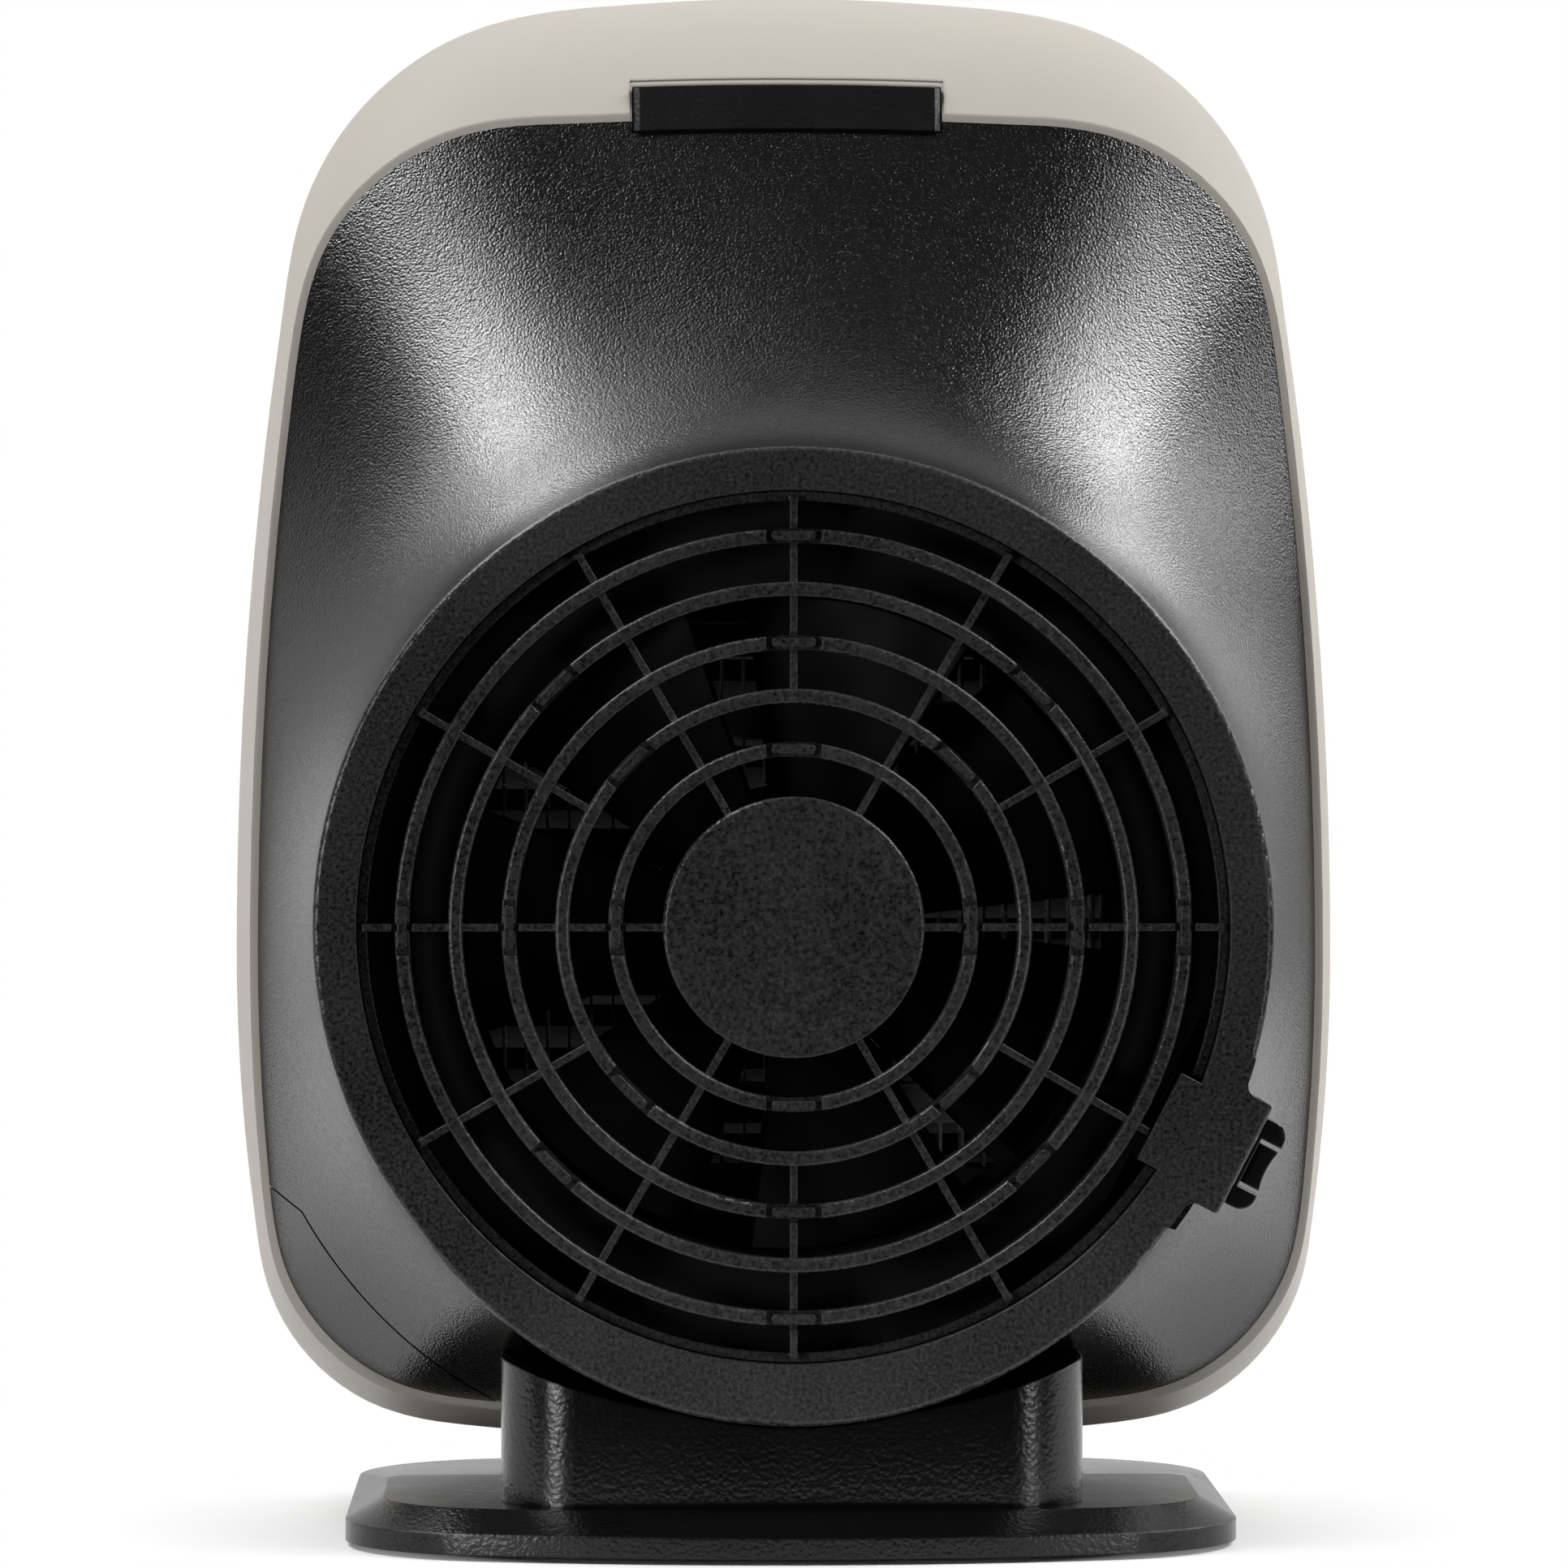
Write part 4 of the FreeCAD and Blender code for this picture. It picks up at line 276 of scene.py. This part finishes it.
def moulded(name, tint, grain, depth, rough, specular=0.5, pebble=0.0, strength=0.5, tone=0.12, wear=0.06,
            painted_glint=0.0, edge=0.0):
    """Moulded plastic with a grain, a slow drift of tone and patches that are a little more worn.

    grain is the width of one grain, depth its height, pebble its share of rounded cells, and strength how
    plainly it shows. tone is the drift of the colour, painted_glint the grain's share in it, and wear the
    drift of the roughness. painted_glint is painted light: it makes the raised grains lighter, like glints,
    and the hollows darker, like shade. edge is the radius to which sharp edges are rounded.
    """
    material, shader = new_material(name)
    place = object_place(material)
    fine = noise(material, place, 1.0 / grain, FINE_DETAIL, FINE_ROUGH)
    drift_and_painted_glint = noise(material, place, DRIFT_SCALE, SLOW_DETAIL)
    # Painted glints and shade: here the colour follows the fine grain, lighter on the raised grains and
    # darker in the hollows.
    if painted_glint:
        tone_and_painted_glint = add_values(material, drift_and_painted_glint, fine, painted_glint)
        drift_and_painted_glint = spread(material, tone_and_painted_glint, 0.0, 1.0, 0.5 * painted_glint, 0.5 * painted_glint + 1.0)
    dark = tuple(c * (1.0 - tone) for c in tint)
    light = tuple(min(1.0, c * (1.0 + tone)) for c in tint)
    link(material, blend_colour(material, drift_and_painted_glint, dark, light), shader.inputs["Base Color"])
    height = fine
    if pebble:
        height = add_values(material, fine, cells(material, place, 1.0 / grain), -pebble)
    worn = add_values(material, noise(material, place, WEAR_SCALE), fine, WEAR_GRAIN)
    worn = spread(material, worn, rough - wear, rough + wear, WEAR_LOW, WEAR_HIGH)
    link(material, worn, shader.inputs["Roughness"])
    shader.inputs["Specular IOR Level"].default_value = specular
    bump(material, shader, height, strength, depth, edge)
    return material


def metal(name, tint, rough, brushed=True):
    """Metal with fine drawn lines and dull patches."""
    material, shader = new_material(name)
    place = object_place(material)
    mapping = material.node_tree.nodes.new("ShaderNodeMapping")
    mapping.inputs["Scale"].default_value = (1.0, LINE_STRETCH if brushed else 1.0, 1.0)
    link(material, place, mapping.inputs["Vector"])
    lines = noise(material, mapping.outputs["Vector"], LINE_SCALE)
    patch = noise(material, place, PATCH_SCALE, SLOW_DETAIL)
    dull = tuple(c * DULL_SHARE for c in tint)
    link(material, blend_colour(material, patch, dull, tint), shader.inputs["Base Color"])
    worn = spread(material, patch, rough - DULL_BELOW, rough + DULL_ABOVE)
    link(material, worn, shader.inputs["Roughness"])
    shader.inputs["Metallic"].default_value = 1.0
    bump(material, shader, lines, LINE_STRENGTH, LINE_DEPTH)
    return material


def paint(material, *names):
    """Give CAD nodes a material in place of the one that they came with."""
    for name in names:
        mesh = NODES[name].data
        mesh.materials.clear()
        mesh.materials.append(material)


# Operators


class HEATER_OT_casing(bpy.types.Operator):
    """Finish the pale casing and the keys"""

    bl_idname = "heater.casing"
    bl_label = "Casing"

    def execute(self, context):
        tint = context.scene.heater_colours.casing
        grain = context.scene.heater_grain.casing
        satin = moulded(
            "casing_satin", tint, grain, depth=0.00003, rough=0.52, specular=0.1, strength=0.2, tone=0.025,
            edge=0.001
        )
        paint(satin, "outer_shell", "front_bezel", "control_key_1", "control_key_2", "control_key_3")
        return {"FINISHED"}


class HEATER_OT_cover(bpy.types.Operator):
    """Finish the flared rear cover and its corner panel"""

    bl_idname = "heater.cover"
    bl_label = "Rear cover"

    def execute(self, context):
        tint = context.scene.heater_colours.cover
        grain = context.scene.heater_grain.cover
        charcoal = moulded(
            "cover_grained", tint, grain, depth=0.0001, rough=0.17, specular=1.0, pebble=0.5, strength=1.0,
            wear=0.015
        )
        paint(charcoal, "rear_cover", "corner_panel")
        return {"FINISHED"}


class HEATER_OT_intake(bpy.types.Operator):
    """Finish the intake ring, the grille and the tab under the hood"""

    bl_idname = "heater.intake"
    bl_label = "Intake"

    def execute(self, context):
        colours = context.scene.heater_colours
        grain = context.scene.heater_grain.intake
        # The grain's speckle in this black is painted glints and shade.
        black = moulded(
            "intake_black_painted_glint", colours.intake, grain, depth=0.00012, rough=0.24, specular=0.4, pebble=0.4,
            strength=0.8, tone=0.9, painted_glint=2.0, edge=0.0004
        )
        paint(black, "intake_ring", "intake_grille")
        dark = moulded(
            "tab_black", colours.tab, grain, depth=0.00012, rough=0.3, specular=0.25, pebble=0.4,
            strength=0.8, edge=0.0004
        )
        paint(dark, "top_tab")
        return {"FINISHED"}


class HEATER_OT_switch(bpy.types.Operator):
    """Finish the rocker switch and the control strip"""

    bl_idname = "heater.switch"
    bl_label = "Switch"

    def execute(self, context):
        tint = context.scene.heater_colours.switch
        gloss = moulded(
            "switch_gloss", tint, grain=0.004, depth=0.00002, rough=0.12, strength=0.15, edge=0.0006
        )
        paint(gloss, "switch_body", "switch_rocker", "control_panel")
        return {"FINISHED"}


class HEATER_OT_stand(bpy.types.Operator):
    """Finish the neck, the base, and the pieces of rubber and iron"""

    bl_idname = "heater.stand"
    bl_label = "Stand"

    def execute(self, context):
        colours = context.scene.heater_colours
        grain = context.scene.heater_grain
        leather = moulded(
            "neck_leather", colours.stand, grain.neck, depth=0.00006, rough=0.22, specular=0.45, pebble=0.8,
            strength=0.8, wear=0.02, edge=0.0006
        )
        paint(leather, "neck")
        satin = moulded(
            "base_satin", colours.stand, grain.base, depth=0.00007, rough=0.2, specular=0.36, pebble=0.5,
            strength=0.9, wear=0.02, edge=0.0006
        )
        paint(satin, "base_cover")
        soft = moulded("rubber_soft", colours.rubber, grain=0.0012, depth=0.00008, rough=0.75, strength=0.4)
        paint(soft, "feet", "cord_inlet", "tact_switches")
        iron = metal("ballast_iron", colours.iron, rough=0.5)
        paint(iron, "ballast_plate", "motor_rotor", "motor_stator")
        return {"FINISHED"}


class HEATER_OT_works(bpy.types.Operator):
    """Finish the fan, the motor, the heating element and the boards"""

    bl_idname = "heater.works"
    bl_label = "Inner works"

    def execute(self, context):
        colours = context.scene.heater_colours
        grain = context.scene.heater_grain.works
        black = moulded(
            "works_black", colours.works, grain, depth=0.00008, rough=0.55, specular=0.2, strength=0.35
        )
        paint(black, "fan_shroud", "fan_impeller", "motor_bracket", "outlet_panel", "tip_switch")
        steel = metal("steel_turned", colours.steel, rough=0.32)
        paint(steel, "motor_screws", "bracket_screws", "neck_screws", "base_screws")
        paint(steel, "fan_clip", "motor_shaft", "thermal_cutout")
        zinc = metal("zinc_sheet", colours.zinc, rough=0.42, brushed=False)
        paint(zinc, "motor_can")
        coat = moulded("duct_coat", colours.duct, grain, depth=0.00005, rough=0.6, strength=0.3)
        paint(coat, "air_duct")
        brass = metal("brass_plain", colours.brass, rough=0.3)
        paint(brass, "switch_terminals", "motor_bushes", "thermal_fuse")
        fins = metal("fin_bare", colours.aluminium, rough=0.35)
        paint(fins, "ptc_fins")
        ceramic = moulded("ceramic_grey", colours.ceramic, grain=0.0006, depth=0.00006, rough=0.6)
        paint(ceramic, "ptc_bars")
        heat_proof = moulded("heat_proof", colours.heat_proof, grain, depth=0.00005, rough=0.55)
        paint(heat_proof, "ptc_frame", "power_standoffs", "terminal_block")
        board = moulded("board_lacquer", colours.board, grain=0.0009, depth=0.00004, rough=0.3, tone=0.2)
        paint(board, "power_board", "control_board")
        lead = moulded("lead_sleeve", colours.lead, grain=0.002, depth=0.00003, rough=0.35)
        paint(lead, "switch_leads")
        return {"FINISHED"}


class HEATER_OT_stage(bpy.types.Operator):
    """Set up the floor, the background, the lamps and the camera"""

    bl_idname = "heater.stage"
    bl_label = "Stage"

    def execute(self, context):
        studio = context.scene.heater_studio
        self.world(context, studio)
        self.floor()
        for name, (turn, lean, depth, width, watts) in PANELS.items():
            self.lamp(name, studio.dome, turn, lean, depth, width, watts * studio.level)
        self.camera(context, studio)
        context.scene.view_settings.view_transform = "Standard"
        return {"FINISHED"}

    def world(self, context, studio):
        """White for the camera. Other rays meet a backdrop beyond the front and a dim room behind."""
        world = bpy.data.worlds.new("studio")
        world.use_nodes = True
        tree = world.node_tree
        tree.nodes.clear()
        output = tree.nodes.new("ShaderNodeOutputWorld")
        white = tree.nodes.new("ShaderNodeBackground")
        room = tree.nodes.new("ShaderNodeBackground")
        room.inputs["Strength"].default_value = studio.room
        backdrop = tree.nodes.new("ShaderNodeBackground")
        backdrop.inputs["Strength"].default_value = studio.backdrop
        path = tree.nodes.new("ShaderNodeLightPath")
        direction = tree.nodes.new("ShaderNodeTexCoord")
        parts = tree.nodes.new("ShaderNodeSeparateXYZ")
        beyond = tree.nodes.new("ShaderNodeMapRange")
        beyond.interpolation_type = "SMOOTHSTEP"
        beyond.inputs["From Min"].default_value = BACKDROP_EDGE
        beyond.inputs["From Max"].default_value = BACKDROP_FULL
        around = tree.nodes.new("ShaderNodeMixShader")
        mix = tree.nodes.new("ShaderNodeMixShader")
        tree.links.new(direction.outputs["Generated"], parts.inputs["Vector"])
        tree.links.new(parts.outputs["Y"], beyond.inputs["Value"])
        tree.links.new(beyond.outputs["Result"], around.inputs["Fac"])
        tree.links.new(room.outputs["Background"], around.inputs[1])
        tree.links.new(backdrop.outputs["Background"], around.inputs[2])
        tree.links.new(path.outputs["Is Camera Ray"], mix.inputs["Fac"])
        tree.links.new(around.outputs["Shader"], mix.inputs[1])
        tree.links.new(white.outputs["Background"], mix.inputs[2])
        tree.links.new(mix.outputs["Shader"], output.inputs["Surface"])
        for light in (white, backdrop, room):
            light.inputs["Color"].default_value = (1.0, 1.0, 1.0, 1.0)
        context.scene.world = world

    def floor(self):
        """White floor that keeps the shadow near the object and fades into the background."""
        bpy.ops.object.select_all(action="DESELECT")
        bpy.ops.mesh.primitive_plane_add(size=FLOOR_SIZE, location=(0.0, 0.0, 0.0))
        floor = bpy.context.active_object
        for vertex in floor.data.vertices:
            vertex.co.y = min(vertex.co.y, FLOOR_EDGE)
        floor.name = "studio_floor"
        material, shader = new_material("floor_white")
        shader.inputs["Base Color"].default_value = FLOOR_WHITE
        shader.inputs["Roughness"].default_value = FLOOR_ROUGH
        tree = material.node_tree
        glow = tree.nodes.new("ShaderNodeEmission")
        path = tree.nodes.new("ShaderNodeLightPath")
        far = tree.nodes.new("ShaderNodeVectorMath")
        far.operation = "LENGTH"
        link(material, object_place(material), far.inputs[0])
        away = spread(material, far.outputs["Value"], 0.0, 1.0, FLOOR_NEAR, FLOOR_FAR)
        seen = tree.nodes.new("ShaderNodeMath")
        seen.operation = "MULTIPLY"
        link(material, path.outputs["Is Camera Ray"], seen.inputs[0])
        link(material, away, seen.inputs[1])
        mix = tree.nodes.new("ShaderNodeMixShader")
        link(material, seen.outputs["Value"], mix.inputs["Fac"])
        link(material, shader.outputs["BSDF"], mix.inputs[1])
        link(material, glow.outputs["Emission"], mix.inputs[2])
        output = next(n for n in tree.nodes if n.type == "OUTPUT_MATERIAL")
        link(material, mix.outputs["Shader"], output.inputs["Surface"])
        floor.data.materials.append(material)

    def lamp(self, name, dome, turn, lean, depth, width, watts):
        """Soft panel on the dome that faces the middle of the object."""
        data = bpy.data.lights.new(name, "AREA")
        data.shape = "RECTANGLE"
        data.size = depth
        data.size_y = width
        data.energy = watts
        lamp = bpy.data.objects.new(name, data)
        bpy.context.scene.collection.objects.link(lamp)
        turn = math.radians(turn)
        lean = math.radians(lean)
        way = Vector((math.sin(turn) * math.sin(lean), math.cos(turn), math.sin(turn) * math.cos(lean)))
        lamp.location = (CAD_LOW + CAD_HIGH) / 2 + way * dome
        lamp.rotation_euler = (-way).to_track_quat("-Z", "Y").to_euler()

    def camera(self, context, studio):
        """Camera at the photograph's place and angle."""
        data = bpy.data.cameras.new("photo_camera")
        data.lens = studio.lens
        data.sensor_width = SENSOR
        data.clip_start = NEAREST
        data.clip_end = FARTHEST
        camera = bpy.data.objects.new("photo_camera", data)
        context.scene.collection.objects.link(camera)
        camera.location = studio.eye
        camera.rotation_euler = Vector(studio.aim).to_track_quat("-Z", "Y").to_euler()
        context.scene.camera = camera


class HEATER_PT_panel(bpy.types.Panel):
    """Lists the steps that finish the heater, and their values"""

    bl_label = "Heater"
    bl_idname = "HEATER_PT_panel"
    bl_space_type = "VIEW_3D"
    bl_region_type = "UI"
    bl_category = "Heater"

    def draw(self, context):
        for step in STEPS:
            self.layout.operator(step.bl_idname)
        for group in (context.scene.heater_colours, context.scene.heater_grain, context.scene.heater_studio):
            box = self.layout.box()
            for name in group.__annotations__:
                box.prop(group, name)


GROUPS = {"heater_colours": HeaterColours, "heater_grain": HeaterGrain, "heater_studio": HeaterStudio}
STEPS = (
    HEATER_OT_casing,
    HEATER_OT_cover,
    HEATER_OT_intake,
    HEATER_OT_switch,
    HEATER_OT_stand,
    HEATER_OT_works,
    HEATER_OT_stage,
)


def register():
    for name, group in GROUPS.items():
        bpy.utils.register_class(group)
        setattr(bpy.types.Scene, name, bpy.props.PointerProperty(type=group))
    for step in STEPS:
        bpy.utils.register_class(step)
    bpy.utils.register_class(HEATER_PT_panel)


def unregister():
    bpy.utils.unregister_class(HEATER_PT_panel)
    for step in reversed(STEPS):
        bpy.utils.unregister_class(step)
    for name, group in GROUPS.items():
        delattr(bpy.types.Scene, name)
        bpy.utils.unregister_class(group)


def main():
    register()
    bpy.ops.heater.casing()
    bpy.ops.heater.cover()
    bpy.ops.heater.intake()
    bpy.ops.heater.switch()
    bpy.ops.heater.stand()
    bpy.ops.heater.works()
    bpy.ops.heater.stage()


if __name__ == "__main__":
    main()
